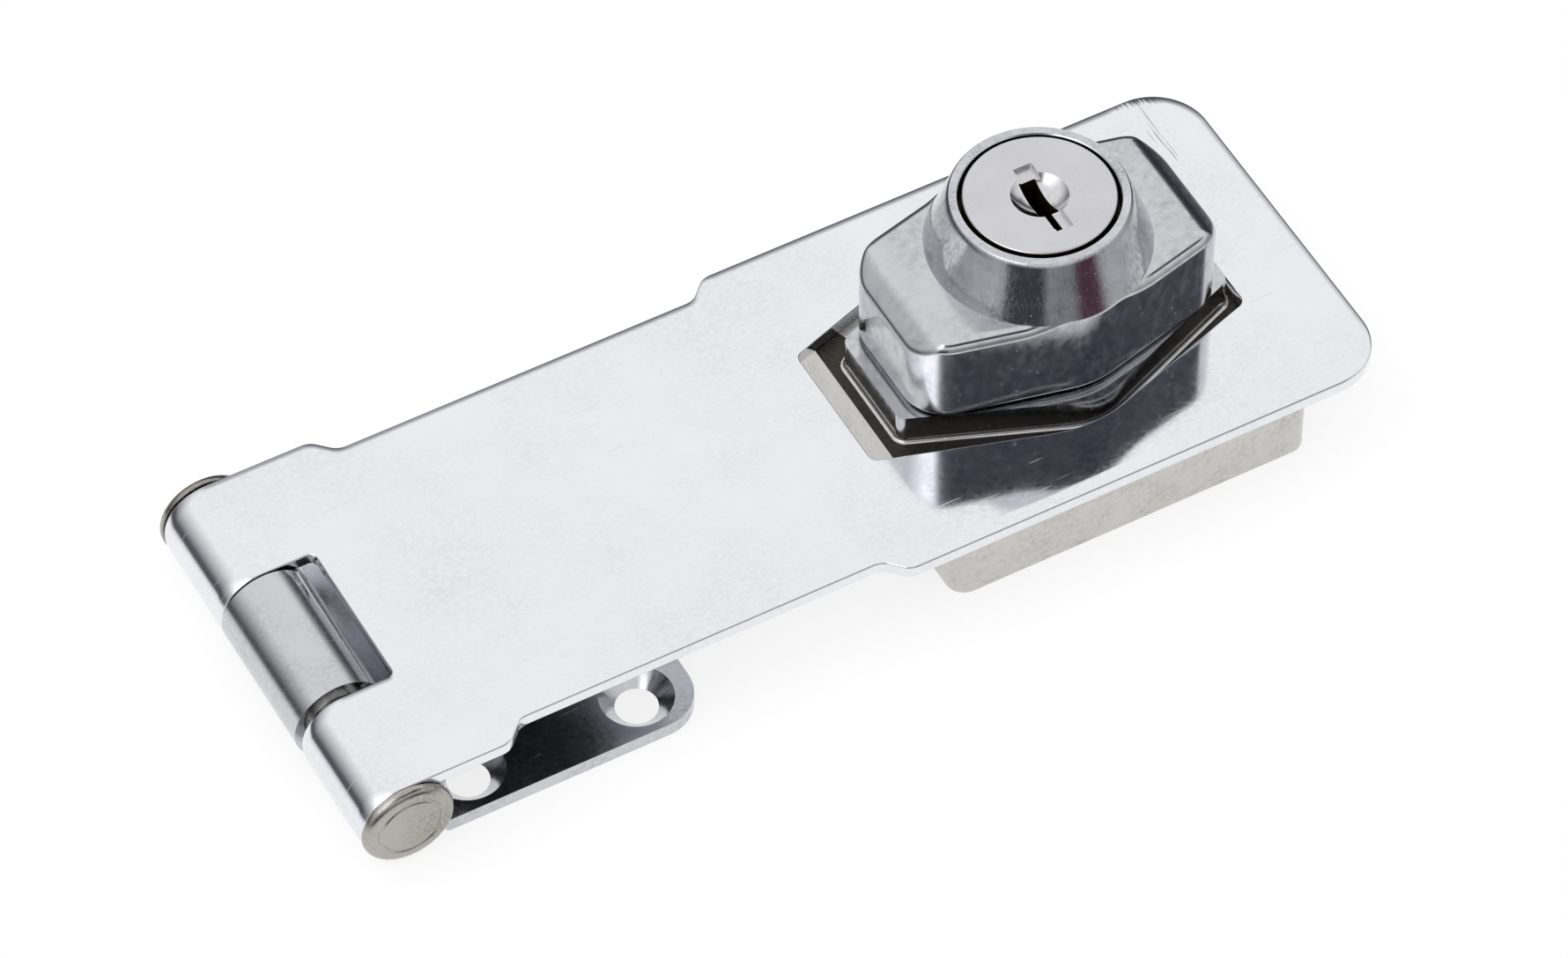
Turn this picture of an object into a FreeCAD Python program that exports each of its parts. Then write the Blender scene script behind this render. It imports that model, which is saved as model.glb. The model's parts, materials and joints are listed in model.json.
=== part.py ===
import FreeCAD, Part
import math
import os

import Sketcher

# Keyed hasp lock: a chromed strap is hinged on a small screw-on leaf and closes over a cast
# base, whose turning knob comes up through the slot in the strap. A wafer plug in the knob
# drives a bolt that fixes the knob in the base.
# Row frame: origin under the middle of the whole length, +X from the hinge to the free end of
# the strap, +Z up from the mounting plane, millimetres.

SIZES = {
    # Whole length, from the outer side of the hinge barrel to the free end of the strap.
    "overall_length": 114.3,
    # Hinge: a rolled barrel in each sheet, on a pin with two flat heads.
    "sheet": 1.6,
    "pin_diameter": 6.35,
    "pin_clearance": 0.075,
    "curl_end_angle": 30.0,
    "pin_head_thickness": 1.0,
    "pin_head_gap": 0.1,
    "pin_head_round": 0.45,
    "knuckle_front": 7.4,
    "knuckle_rear": 8.2,
    "knuckle_gap_front": 1.1,
    "knuckle_gap_rear": 0.35,
    "notch_depth": 5.5,
    "notch_corner": 0.8,
    # Strap. Its waist starts at a distance from the pin's axis and ends before the slot.
    "strap_width": 42.3,
    "waist_depth": 2.15,
    "waist_start": 12.4,
    "waist_slot_gap": 4.3,
    "waist_round": 2.0,
    "strap_corner": 6.0,
    # Slot in the strap, a long hexagon that passes over the boss.
    "slot_near_gap": 4.1,
    "slot_far_gap": 0.8,
    "slot_end_width": 15.2,
    "slot_peak_width": 28.8,
    "slot_corner": 1.0,
    "slot_peak_round": 14.0,
    # Leaf, its holes counted from the pin's axis.
    "leaf_reach": 32.9,
    "leaf_width": 42.2,
    "leaf_corner": 4.5,
    "leaf_barrel_gap": 0.5,
    "leaf_hole_near": 8.9,
    "leaf_hole_spacing": 18.35,
    "leaf_hole_rows": 33.0,
    "screw_hole": 4.3,
    "screw_head": 7.45,
    # Lock, its axis counted from the free end of the strap.
    "lock_end_distance": 28.55,
    "strap_rest_gap": 0.05,
    "base_length": 40.2,
    "base_width": 39.6,
    "base_corner": 2.0,
    "base_wall": 2.2,
    "base_hole_spacing": 29.5,
    "post_diameter": 8.4,
    "boss_length": 37.2,
    "boss_end_width": 11.4,
    "boss_peak_width": 26.4,
    "boss_rise": 3.5,
    "boss_peak_round": 8.0,
    "boss_end_round": 1.2,
    "boss_foot_round": 0.7,
    # Knob: a long hexagonal body with a tapered collar, and a hub below in the base.
    "knob_lift": 0.3,
    "knob_length": 34.4,
    "knob_end_width": 14.8,
    "knob_peak_width": 23.1,
    "knob_height": 10.45,
    "knob_peak_round": 10.0,
    "knob_end_round": 4.6,
    "end_facet_length": 2.4,
    "end_facet_drop": 2.2,
    "knob_foot_round": 0.7,
    "knob_edge_round": 1.1,
    "collar_foot_radius": 11.28,
    "collar_top_radius": 8.98,
    "collar_height": 6.4,
    "face_recess_radius": 7.97,
    "face_recess_depth": 2.6,
    "hub_radius": 9.0,
    "hub_clearance": 0.08,
    "neck_radius": 8.0,
    "neck_flat": 7.4,
    "hub_foot": 0.5,
    # Housing ring in the base and the stack of washers that holds the hub.
    "ring_wall": 1.6,
    "recess_radius": 11.0,
    "recess_depth": 3.4,
    "stack_gap": 0.05,
    "friction_washer_thickness": 0.4,
    "stop_washer_thickness": 1.0,
    "washer_clearance": 0.1,
    "washer_edge_gap": 0.7,
    "stop_tab_length": 1.2,
    "stop_tab_width": 4.0,
    "stop_tab_gap": 0.3,
    "knob_turn": 90.0,
    "stop_angle_gap": 2.0,
    "clip_thickness": 0.7,
    "clip_groove_depth": 0.7,
    "clip_outer_radius": 9.6,
    "clip_opening": 5.0,
    "clip_gap": 0.2,
    # Plug, with its keyway drawn from the lock's axis.
    "face_radius": 7.55,
    "face_thickness": 2.5,
    "face_proud": 0.1,
    "plug_radius": 6.0,
    "plug_clearance": 0.05,
    "plug_foot": 10.0,
    "dimple_radius": 2.89,
    "dimple_depth": 0.9,
    "key_left": 1.0,
    "key_right": 0.8,
    "key_top": 2.4,
    "key_waist": 2.4,
    "key_slot_right": -0.26,
    "key_bottom": 4.6,
    "key_depth": 15.4,
    "step_depth": 0.5,
    "far_step_left": 0.75,
    "far_step_right": 1.3,
    "far_step_end": 4.0,
    "near_step_right": 0.93,
    "near_step_end": 5.0,
    # Wafers in the plug, counted down from the back of the plug's face.
    "wafer_count": 5,
    "first_wafer": 1.5,
    "wafer_pitch": 2.2,
    "wafer_thickness": 0.6,
    "wafer_width": 5.2,
    "wafer_radius": 5.9,
    "wafer_clearance": 0.05,
    "wafer_key_gap": 0.15,
    "wafer_lug_reach": 1.1,
    "wafer_lug_width": 0.7,
    "wafer_lug_top": -0.2,
    "spring_wire": 0.16,
    "spring_radius": 0.34,
    "spring_turns": 3,
    "spring_end_gap": 0.05,
    "spring_seat": 3.6,
    "catch_reach": 0.6,
    "catch_place": 11.9,
    "catch_groove_gap": 0.25,
    # Bolt, driven by the plug's pin, with the notches that it enters.
    "drive_pin_radius": 0.8,
    "drive_pin_offset": 2.0,
    "drive_pin_angle": 135.0,
    "drive_pin_gap": 0.12,
    "bolt_bottom": 5.2,
    "bolt_height": 2.8,
    "bolt_width": 7.0,
    "bolt_back": 3.4,
    "bolt_tip_inset": 0.3,
    "bolt_clearance": 0.05,
    "bolt_travel": 2.83,
    "notch_tip_gap": 0.4,
    "notch_side_gap": 0.15,
}

# Lengths in mm, and directions, that differ by less than this are taken as the same.
SAME = 1e-3

document = FreeCAD.newDocument("keyed_hasp_lock")
sheet = document.addObject("Spreadsheet::Sheet", "Sizes")
for row, (alias, number) in enumerate(SIZES.items(), start=1):
    sheet.set(f"A{row}", alias)
    sheet.set(f"B{row}", str(number))
    sheet.setAlias(f"B{row}", alias)
document.recompute()


class Size:
    """A number in millimetres or degrees, with the formula of sheet cells that gives it."""

    def __init__(self, value, formula):
        self.value = value
        self.formula = formula

    def __add__(self, other):
        other = as_size(other)
        return Size(self.value + other.value, f"({self.formula} + {other.formula})")

    def __sub__(self, other):
        other = as_size(other)
        return Size(self.value - other.value, f"({self.formula} - {other.formula})")

    def __mul__(self, other):
        other = as_size(other)
        return Size(self.value * other.value, f"({self.formula} * {other.formula})")

    def __truediv__(self, other):
        other = as_size(other)
        return Size(self.value / other.value, f"({self.formula} / {other.formula})")

    def __neg__(self):
        return Size(-self.value, f"(-1 * {self.formula})")


def as_size(number):
    """Gives a plain number as a Size, and a Size as it is."""
    return number if isinstance(number, Size) else Size(float(number), f"{float(number)}")


def cell(alias):
    """Gives the Size that a cell of the sheet holds."""
    return Size(float(SIZES[alias]), f"Sizes.{alias}")


def cosine(angle):
    return Size(math.cos(math.radians(angle.value)), f"cos({angle.formula})")


def sine(angle):
    return Size(math.sin(math.radians(angle.value)), f"sin({angle.formula})")


def root(square):
    return Size(math.sqrt(square.value), f"sqrt({square.formula})")


def bind(thing, name, size):
    """Binds a property of an object to the sheet."""
    thing.setExpression(name, as_size(size).formula)


ZERO = as_size(0)
# Deeper and wider than any sub-part, for cuts that go right through.
REACH = cell("overall_length") * 2
# How far a cut or a joint runs past the surface that it opens or meets.
OVERRUN = as_size(1)


# Features of a body

def new_body(label, x=ZERO, y=ZERO, z=ZERO):
    """Starts a sub-part, with its own origin at a place in the row frame."""
    body = document.addObject("PartDesign::Body", label)
    body.Label = label
    bind(body, "Placement.Base.x", x)
    bind(body, "Placement.Base.y", y)
    bind(body, "Placement.Base.z", z)
    return body


def new_sketch(body, name, plane, level=ZERO):
    """Puts an empty sketch on a plane of the body's origin, moved along its normal."""
    sketch = body.newObject("Sketcher::SketchObject", f"{body.Name}_{name}")
    face = next(item for item in body.Origin.OriginFeatures if item.Role == plane)
    sketch.AttachmentSupport = [(face, "")]
    sketch.MapMode = "FlatFace"
    bind(sketch, "AttachmentOffset.Base.z", level)
    return sketch


def locate(sketch, edge, corner, axis, size):
    """Fixes one coordinate of an edge's end (1 or 2) or centre (3)."""
    kind = "DistanceX" if axis == 0 else "DistanceY"
    rule = sketch.addConstraint(
        Sketcher.Constraint(kind, -1, 1, edge, corner, size.value))
    bind(sketch, f"Constraints[{rule}]", size)


def vector(point):
    return FreeCAD.Vector(point[0].value, point[1].value, 0)


def sizes_of(point):
    return (as_size(point[0]), as_size(point[1]))


def arc_between(start, end, centre, left_turn):
    """Makes the arc from start to end round a centre, turning left or right."""
    first, last = (start, end) if left_turn else (end, start)
    begin = math.atan2(first.y - centre.y, first.x - centre.x)
    finish = math.atan2(last.y - centre.y, last.x - centre.x)
    circle = Part.Circle(centre, FreeCAD.Vector(0, 0, 1), (start - centre).Length)
    return Part.ArcOfCircle(circle, begin, finish)


def draw_path(sketch, path):
    """Draws a closed line. Each step is an end point, or an end point, a centre and a side."""
    ends = [sizes_of(step[0]) for step in path]
    joints = []
    for index, step in enumerate(path):
        start = vector(ends[index - 1])
        end = vector(ends[index])
        if len(step) == 1:
            edge = sketch.addGeometry(Part.LineSegment(start, end), False)
            joints.append((edge, 1, 2))
            continue
        centre = sizes_of(step[1])
        left_turn = step[2] == "left"
        edge = sketch.addGeometry(arc_between(start, end, vector(centre), left_turn), False)
        joints.append((edge, 1, 2) if left_turn else (edge, 2, 1))
        chord = end - start
        axis = 1 if abs(chord.x) > abs(chord.y) else 0
        locate(sketch, edge, 3, axis, centre[axis])
    for index, (edge, start_corner, end_corner) in enumerate(joints):
        next_edge, next_start, _ = joints[(index + 1) % len(joints)]
        sketch.addConstraint(
            Sketcher.Constraint("Coincident", edge, end_corner, next_edge, next_start))
        locate(sketch, edge, end_corner, 0, ends[index][0])
        locate(sketch, edge, end_corner, 1, ends[index][1])


def draw_circle(sketch, radius, x=ZERO, y=ZERO):
    centre = sizes_of((x, y))
    edge = sketch.addGeometry(
        Part.Circle(vector(centre), FreeCAD.Vector(0, 0, 1), radius.value), False)
    locate(sketch, edge, 3, 0, centre[0])
    locate(sketch, edge, 3, 1, centre[1])
    rule = sketch.addConstraint(Sketcher.Constraint("Radius", edge, radius.value))
    bind(sketch, f"Constraints[{rule}]", radius)


def draw_box(sketch, left, right, low, high):
    draw_path(sketch, [((right, low),), ((right, high),), ((left, high),), ((left, low),)])


def draw_hexagon(sketch, half_length, end_half, peak_half):
    """Draws a long hexagon: two short ends across X and a peak on each side."""
    draw_path(sketch, [
        ((half_length, -end_half),), ((half_length, end_half),), ((ZERO, peak_half),),
        ((-half_length, end_half),), ((-half_length, -end_half),), ((ZERO, -peak_half),)])


def finish(body, feature):
    """Makes a feature the body's last one and works it out."""
    body.Tip = feature
    document.recompute()
    return feature


def pad(body, sketch, length, both_ways=False):
    feature = body.newObject("PartDesign::Pad", f"{sketch.Name}_pad")
    feature.Profile = sketch
    feature.SideType = "Symmetric" if both_ways else "One side"
    bind(feature, "Length", length)
    return finish(body, feature)


def revolve(body, sketch):
    feature = body.newObject("PartDesign::Revolution", f"{sketch.Name}_turn")
    feature.Profile = sketch
    feature.ReferenceAxis = (sketch, ["V_Axis"])
    return finish(body, feature)


def checked_cut(body, feature, before):
    """Works a cut out and stops if it took nothing away."""
    finish(body, feature)
    if feature.Shape.Volume >= before:
        raise RuntimeError(f"{feature.Name} takes nothing away")
    return feature


def pocket(body, sketch, depth=REACH, upward=False, both_ways=False):
    """Cuts a sketch downward, upward or both ways."""
    before = body.Shape.Volume
    feature = body.newObject("PartDesign::Pocket", f"{sketch.Name}_cut")
    feature.Profile = sketch
    feature.SideType = "Symmetric" if both_ways else "One side"
    feature.Reversed = upward
    bind(feature, "Length", depth)
    return checked_cut(body, feature, before)


def groove(body, sketch):
    before = body.Shape.Volume
    feature = body.newObject("PartDesign::Groove", f"{sketch.Name}_groove")
    feature.Profile = sketch
    feature.ReferenceAxis = (sketch, ["V_Axis"])
    return checked_cut(body, feature, before)


def round_edges(body, name, radius, chosen):
    """Rounds the edges of a body that a test picks."""
    edges = [f"Edge{number}" for number, edge in enumerate(body.Shape.Edges, start=1)
             if chosen(edge)]
    if not edges:
        raise RuntimeError(f"{body.Name} {name} finds no edge")
    base = body.Tip
    feature = body.newObject("PartDesign::Fillet", f"{body.Name}_{name}")
    feature.Base = (base, edges)
    bind(feature, "Radius", radius)
    return finish(body, feature)


def upright(edge):
    """Tells whether an edge is a straight line along Z."""
    if len(edge.Vertexes) != 2:
        return False
    first, last = (vertex.Point for vertex in edge.Vertexes)
    return math.hypot(first.x - last.x, first.y - last.y) < SAME


def upright_at(body, places):
    """Gives a test for the upright edges that stand at any of the places."""
    spots = [(x.value + body.Placement.Base.x, y.value + body.Placement.Base.y)
             for x, y in (sizes_of(place) for place in places)]

    def chosen(edge):
        if not upright(edge):
            return False
        first = edge.Vertexes[0].Point
        return any(math.hypot(first.x - x, first.y - y) < SAME for x, y in spots)

    return chosen


def beside_wall(body, edge):
    """Tells whether an upright face meets an edge of a body."""
    return any(abs(face.normalAt(*face.Surface.parameter(face.CenterOfMass)).z) < SAME
               for face in body.Shape.ancestorsOfType(edge, Part.Face))


def mirrored(places):
    """Adds to places their mirror images in the X axis."""
    return [(x, side * y) for x, y in places
            for side in (as_size(1), as_size(-1))]


# Places shared by several sub-parts

SHEET = cell("sheet")
BARREL_BORE = cell("pin_diameter") / 2 + cell("pin_clearance")
BARREL_RADIUS = BARREL_BORE + SHEET
PIN_X = BARREL_RADIUS - cell("overall_length") / 2
PIN_Z = BARREL_RADIUS
STRAP_UNDERSIDE = PIN_Z + BARREL_BORE
BASE_TOP = STRAP_UNDERSIDE - cell("strap_rest_gap")
STRAP_HALF = cell("strap_width") / 2
STRAP_REACH = cell("overall_length") - BARREL_RADIUS
LOCK_DISTANCE = STRAP_REACH - cell("lock_end_distance")
LOCK_X = PIN_X + LOCK_DISTANCE
SLOT_NEAR = LOCK_DISTANCE - cell("boss_length") / 2 - cell("slot_near_gap")
SLOT_FAR = LOCK_DISTANCE + cell("boss_length") / 2 + cell("slot_far_gap")
WAIST_END = SLOT_NEAR - cell("waist_slot_gap")
BOSS_TOP = BASE_TOP + cell("boss_rise")
KNOB_FOOT = BOSS_TOP + cell("knob_lift")
KNOB_TOP = KNOB_FOOT + cell("knob_height")
COLLAR_TOP = KNOB_TOP + cell("collar_height")
HUB_BORE = cell("hub_radius") + cell("hub_clearance")
PLUG_BORE = cell("plug_radius") + cell("plug_clearance")
FACE_TOP = COLLAR_TOP + cell("face_proud")
FACE_BACK = FACE_TOP - cell("face_thickness")
RING_RADIUS = cell("recess_radius") + cell("stop_tab_length") + cell("ring_wall")
FRICTION_TOP = cell("recess_depth") - cell("stack_gap")
FRICTION_FOOT = FRICTION_TOP - cell("friction_washer_thickness")
STOP_TOP = FRICTION_FOOT - cell("stack_gap")
STOP_FOOT = STOP_TOP - cell("stop_washer_thickness")
CLIP_TOP = STOP_FOOT - cell("clip_gap")
CLIP_FOOT = CLIP_TOP - cell("clip_thickness")
CLIP_INNER = cell("neck_radius") - cell("clip_groove_depth") + cell("washer_clearance")
BOLT_TIP = cell("hub_radius") - cell("bolt_tip_inset")
BOLT_HALF = cell("bolt_width") / 2
PIN_PLACE_X = cell("drive_pin_offset") * cosine(cell("drive_pin_angle"))
PIN_PLACE_Y = -(cell("drive_pin_offset") * sine(cell("drive_pin_angle")))
WAFER_HALF = cell("wafer_width") / 2
SLOT_HALF = WAFER_HALF + cell("wafer_clearance")


def add_strap():
    """Strap: a sheet rolled round the pin, waisted, with a notch, a slot and round corners."""
    body = new_body("strap", PIN_X, ZERO, PIN_Z)
    end = cell("curl_end_angle")
    curl_inner = (BARREL_BORE * cosine(end), BARREL_BORE * sine(end))
    curl_outer = (BARREL_RADIUS * cosine(end), BARREL_RADIUS * sine(end))
    centre = (ZERO, ZERO)
    section = new_sketch(body, "section", "XZ_Plane")
    draw_path(section, [
        ((STRAP_REACH, BARREL_BORE),),
        ((ZERO, BARREL_BORE),),
        (curl_inner, centre, "left"),
        (curl_outer,),
        ((ZERO, BARREL_RADIUS), centre, "right"),
        ((STRAP_REACH, BARREL_RADIUS),)])
    pad(body, section, cell("strap_width"), both_ways=True)

    notch = new_sketch(body, "notch", "XY_Plane")
    notch_front = cell("knuckle_front") + cell("knuckle_gap_front")
    notch_rear = cell("knuckle_rear") + cell("knuckle_gap_rear")
    draw_box(notch, -REACH, cell("notch_depth"), -notch_front, notch_rear)
    pocket(body, notch, both_ways=True)
    round_edges(body, "notch_corners", cell("notch_corner"), upright_at(body, [
        (cell("notch_depth"), -notch_front), (cell("notch_depth"), notch_rear)]))

    waist_half = STRAP_HALF - cell("waist_depth")
    slant = cell("waist_depth") / 2
    outer = [(cell("waist_start") - slant, STRAP_HALF), (WAIST_END + slant, STRAP_HALF)]
    inner = [(cell("waist_start") + slant, waist_half), (WAIST_END - slant, waist_half)]
    for name, side in (("near_waist", as_size(-1)), ("far_waist", as_size(1))):
        waist = new_sketch(body, name, "XY_Plane")
        corners = [outer[0], inner[0], inner[1], outer[1]]
        if side.value < 0:
            corners.reverse()
        draw_path(waist, [((x, side * y),) for x, y in corners])
        pocket(body, waist, both_ways=True)
    round_edges(body, "waist_rounds", cell("waist_round"),
                upright_at(body, mirrored(outer + inner)))
    round_edges(body, "end_corners", cell("strap_corner"),
                upright_at(body, mirrored([(STRAP_REACH, STRAP_HALF)])))

    slot = new_sketch(body, "slot", "XY_Plane")
    middle = (SLOT_NEAR + SLOT_FAR) / 2
    end_half = cell("slot_end_width") / 2
    peak_half = cell("slot_peak_width") / 2
    draw_path(slot, [
        ((SLOT_FAR, -end_half),), ((SLOT_FAR, end_half),), ((middle, peak_half),),
        ((SLOT_NEAR, end_half),), ((SLOT_NEAR, -end_half),), ((middle, -peak_half),)])
    pocket(body, slot, both_ways=True)
    round_edges(body, "slot_corners", cell("slot_corner"),
                upright_at(body, mirrored([(SLOT_NEAR, end_half), (SLOT_FAR, end_half)])))
    round_edges(body, "slot_peaks", cell("slot_peak_round"),
                upright_at(body, mirrored([(middle, peak_half)])))


def add_leaf():
    """Leaf: the fixed plate, with a tongue rolled round the pin and four countersunk holes."""
    body = new_body("leaf", PIN_X, ZERO, ZERO)
    plate_start = root((BARREL_RADIUS + cell("leaf_barrel_gap")) * (
        BARREL_RADIUS + cell("leaf_barrel_gap")) - BARREL_BORE * BARREL_BORE)
    half = cell("leaf_width") / 2
    plate = new_sketch(body, "plate", "XY_Plane")
    draw_box(plate, plate_start, cell("leaf_reach"), -half, half)
    pad(body, plate, SHEET)

    end = cell("curl_end_angle")
    drop_outer = (BARREL_RADIUS * cosine(end), PIN_Z - BARREL_RADIUS * sine(end))
    drop_inner = (BARREL_BORE * cosine(end), PIN_Z - BARREL_BORE * sine(end))
    centre = (ZERO, PIN_Z)
    tongue_end = plate_start + SHEET
    tongue = new_sketch(body, "tongue", "XZ_Plane", -cell("knuckle_rear"))
    draw_path(tongue, [
        ((ZERO, ZERO),),
        (drop_outer, centre, "right"),
        (drop_inner,),
        ((ZERO, SHEET), centre, "left"),
        ((tongue_end, SHEET),),
        ((tongue_end, ZERO),)])
    pad(body, tongue, cell("knuckle_rear") + cell("knuckle_front"))
    round_edges(body, "corners", cell("leaf_corner"),
                upright_at(body, mirrored([(cell("leaf_reach"), half)])))

    row = cell("leaf_hole_rows") / 2
    columns = [cell("leaf_hole_near"), cell("leaf_hole_near") + cell("leaf_hole_spacing")]
    cut_screw_holes(body, [(x, y) for x in columns for y in (-row, row)], SHEET)


def cut_screw_holes(body, places, top):
    """Cuts countersunk holes for screws, with their wide side up."""
    holes = new_sketch(body, "screw_holes", "XY_Plane")
    for x, y in places:
        draw_circle(holes, cell("screw_hole") / 2, x, y)
    pocket(body, holes, both_ways=True)
    narrow = cell("screw_hole") / 2
    wide = cell("screw_head") / 2
    for number, (x, y) in enumerate(places, start=1):
        before = body.Shape.Volume
        cone = body.newObject("PartDesign::SubtractiveCone", f"{body.Name}_countersink_{number}")
        bind(cone, "Radius1", narrow)
        bind(cone, "Radius2", wide)
        bind(cone, "Height", wide - narrow)
        bind(cone, "Placement.Base.x", x)
        bind(cone, "Placement.Base.y", y)
        bind(cone, "Placement.Base.z", top - (wide - narrow))
        checked_cut(body, cone, before)


def add_hinge_pin():
    """Hinge pin: a straight shank with a flat round head at each end, as wide as the barrel."""
    body = new_body("hinge_pin", PIN_X, ZERO, PIN_Z)
    shank = cell("pin_diameter") / 2
    inner = STRAP_HALF + cell("pin_head_gap")
    outer = inner + cell("pin_head_thickness")
    bend = cell("pin_head_round")
    section = new_sketch(body, "section", "XY_Plane")
    draw_path(section, [
        ((shank, -inner),),
        ((shank, inner),),
        ((BARREL_RADIUS, inner),),
        ((BARREL_RADIUS, outer - bend),),
        ((BARREL_RADIUS - bend, outer), (BARREL_RADIUS - bend, outer - bend), "left"),
        ((ZERO, outer),),
        ((ZERO, -outer),),
        ((BARREL_RADIUS - bend, -outer),),
        ((BARREL_RADIUS, bend - outer), (BARREL_RADIUS - bend, bend - outer), "left"),
        ((BARREL_RADIUS, -inner),)])
    revolve(body, section)


def add_base():
    """Base: a hollow casting with a boss on top, a housing ring, four posts and a stop recess."""
    body = new_body("base", LOCK_X)
    half_x = cell("base_length") / 2
    half_y = cell("base_width") / 2
    block = new_sketch(body, "block", "XY_Plane")
    draw_box(block, -half_x, half_x, -half_y, half_y)
    pad(body, block, BASE_TOP)
    round_edges(body, "corners", cell("base_corner"), upright_at(body, [
        (side * half_x, y) for side in (as_size(1), as_size(-1)) for y in (half_y, -half_y)]))

    hollow_x = half_x - cell("base_wall")
    hollow_y = half_y - cell("base_wall")
    ceiling = BASE_TOP - cell("base_wall")
    hollow = new_sketch(body, "hollow", "XY_Plane")
    draw_box(hollow, -hollow_x, hollow_x, -hollow_y, hollow_y)
    pocket(body, hollow, ceiling, upward=True)

    hole = cell("base_hole_spacing") / 2
    places = [(x, y) for x in (-hole, hole) for y in (-hole, hole)]
    for number, (x, y) in enumerate(places, start=1):
        post = new_sketch(body, f"post_{number}", "XY_Plane")
        draw_circle(post, cell("post_diameter") / 2, x, y)
        pad(body, post, BASE_TOP)
    ring = new_sketch(body, "ring", "XY_Plane")
    draw_circle(ring, RING_RADIUS)
    pad(body, ring, BASE_TOP)
    boss = new_sketch(body, "boss", "XY_Plane", BASE_TOP)
    boss_half = cell("boss_length") / 2
    boss_end = cell("boss_end_width") / 2
    boss_peak = cell("boss_peak_width") / 2
    draw_hexagon(boss, boss_half, boss_end, boss_peak)
    pad(body, boss, cell("boss_rise"))
    round_edges(body, "boss_peaks", cell("boss_peak_round"),
                upright_at(body, mirrored([(ZERO, boss_peak)])))
    round_edges(body, "boss_ends", cell("boss_end_round"), upright_at(body, mirrored(
        [(-boss_half, boss_end), (boss_half, boss_end)])))

    def at_boss_foot(edge):
        box = edge.BoundBox
        level = abs(box.ZMin - BASE_TOP.value) + abs(box.ZMax - BASE_TOP.value)
        inside = box.XMax - LOCK_X.value < boss_half.value + SAME
        inside = inside and LOCK_X.value - box.XMin < boss_half.value + SAME
        return level < SAME and inside and max(abs(box.YMax), abs(box.YMin)) < boss_peak.value

    round_edges(body, "boss_foot", cell("boss_foot_round"), at_boss_foot)
    cut_screw_holes(body, places, BASE_TOP)

    bore = new_sketch(body, "bore", "XY_Plane")
    draw_circle(bore, HUB_BORE)
    pocket(body, bore, both_ways=True)
    recess = new_sketch(body, "recess", "XY_Plane")
    draw_circle(recess, cell("recess_radius"))
    pocket(body, recess, cell("recess_depth"), upward=True)
    cut_stop_arc(body)
    cut_bolt_notches(body)


def cut_stop_arc(body):
    """Widens the recess over the arc that the stop washer's tab sweeps."""
    outer = cell("recess_radius") + cell("stop_tab_length") + cell("stop_tab_gap")
    inner = cell("recess_radius") - cell("stop_tab_gap")
    half_tab = Size(
        math.degrees(math.asin(cell("stop_tab_width").value / 2 / inner.value)),
        f"asin({cell('stop_tab_width').formula} / 2 / {inner.formula}) / 1deg")
    tab_angle = as_size(180)
    start = tab_angle - half_tab - cell("stop_angle_gap")
    end = tab_angle + half_tab + cell("stop_angle_gap") + cell("knob_turn")
    centre = (ZERO, ZERO)
    arc = new_sketch(body, "stop_arc", "XY_Plane")
    draw_path(arc, [
        ((outer * cosine(start), outer * sine(start)),),
        ((outer * cosine(end), outer * sine(end)), centre, "left"),
        ((inner * cosine(end), inner * sine(end)),),
        ((inner * cosine(start), inner * sine(start)), centre, "right")])
    pocket(body, arc, cell("recess_depth"), upward=True)


def cut_bolt_notches(body):
    """Cuts the two notches that the bolt enters, a quarter turn apart."""
    low = cell("bolt_bottom") - cell("notch_side_gap")
    height = cell("bolt_height") + cell("notch_side_gap") * 2
    reach = BOLT_TIP + cell("bolt_travel") + cell("notch_tip_gap")
    half = BOLT_HALF + cell("notch_side_gap")
    first = new_sketch(body, "bolt_notch_x", "XY_Plane", low)
    draw_box(first, ZERO, reach, -half, half)
    pocket(body, first, height, upward=True)
    second = new_sketch(body, "bolt_notch_y", "XY_Plane", low)
    draw_box(second, -half, half, ZERO, reach)
    pocket(body, second, height, upward=True)


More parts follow.
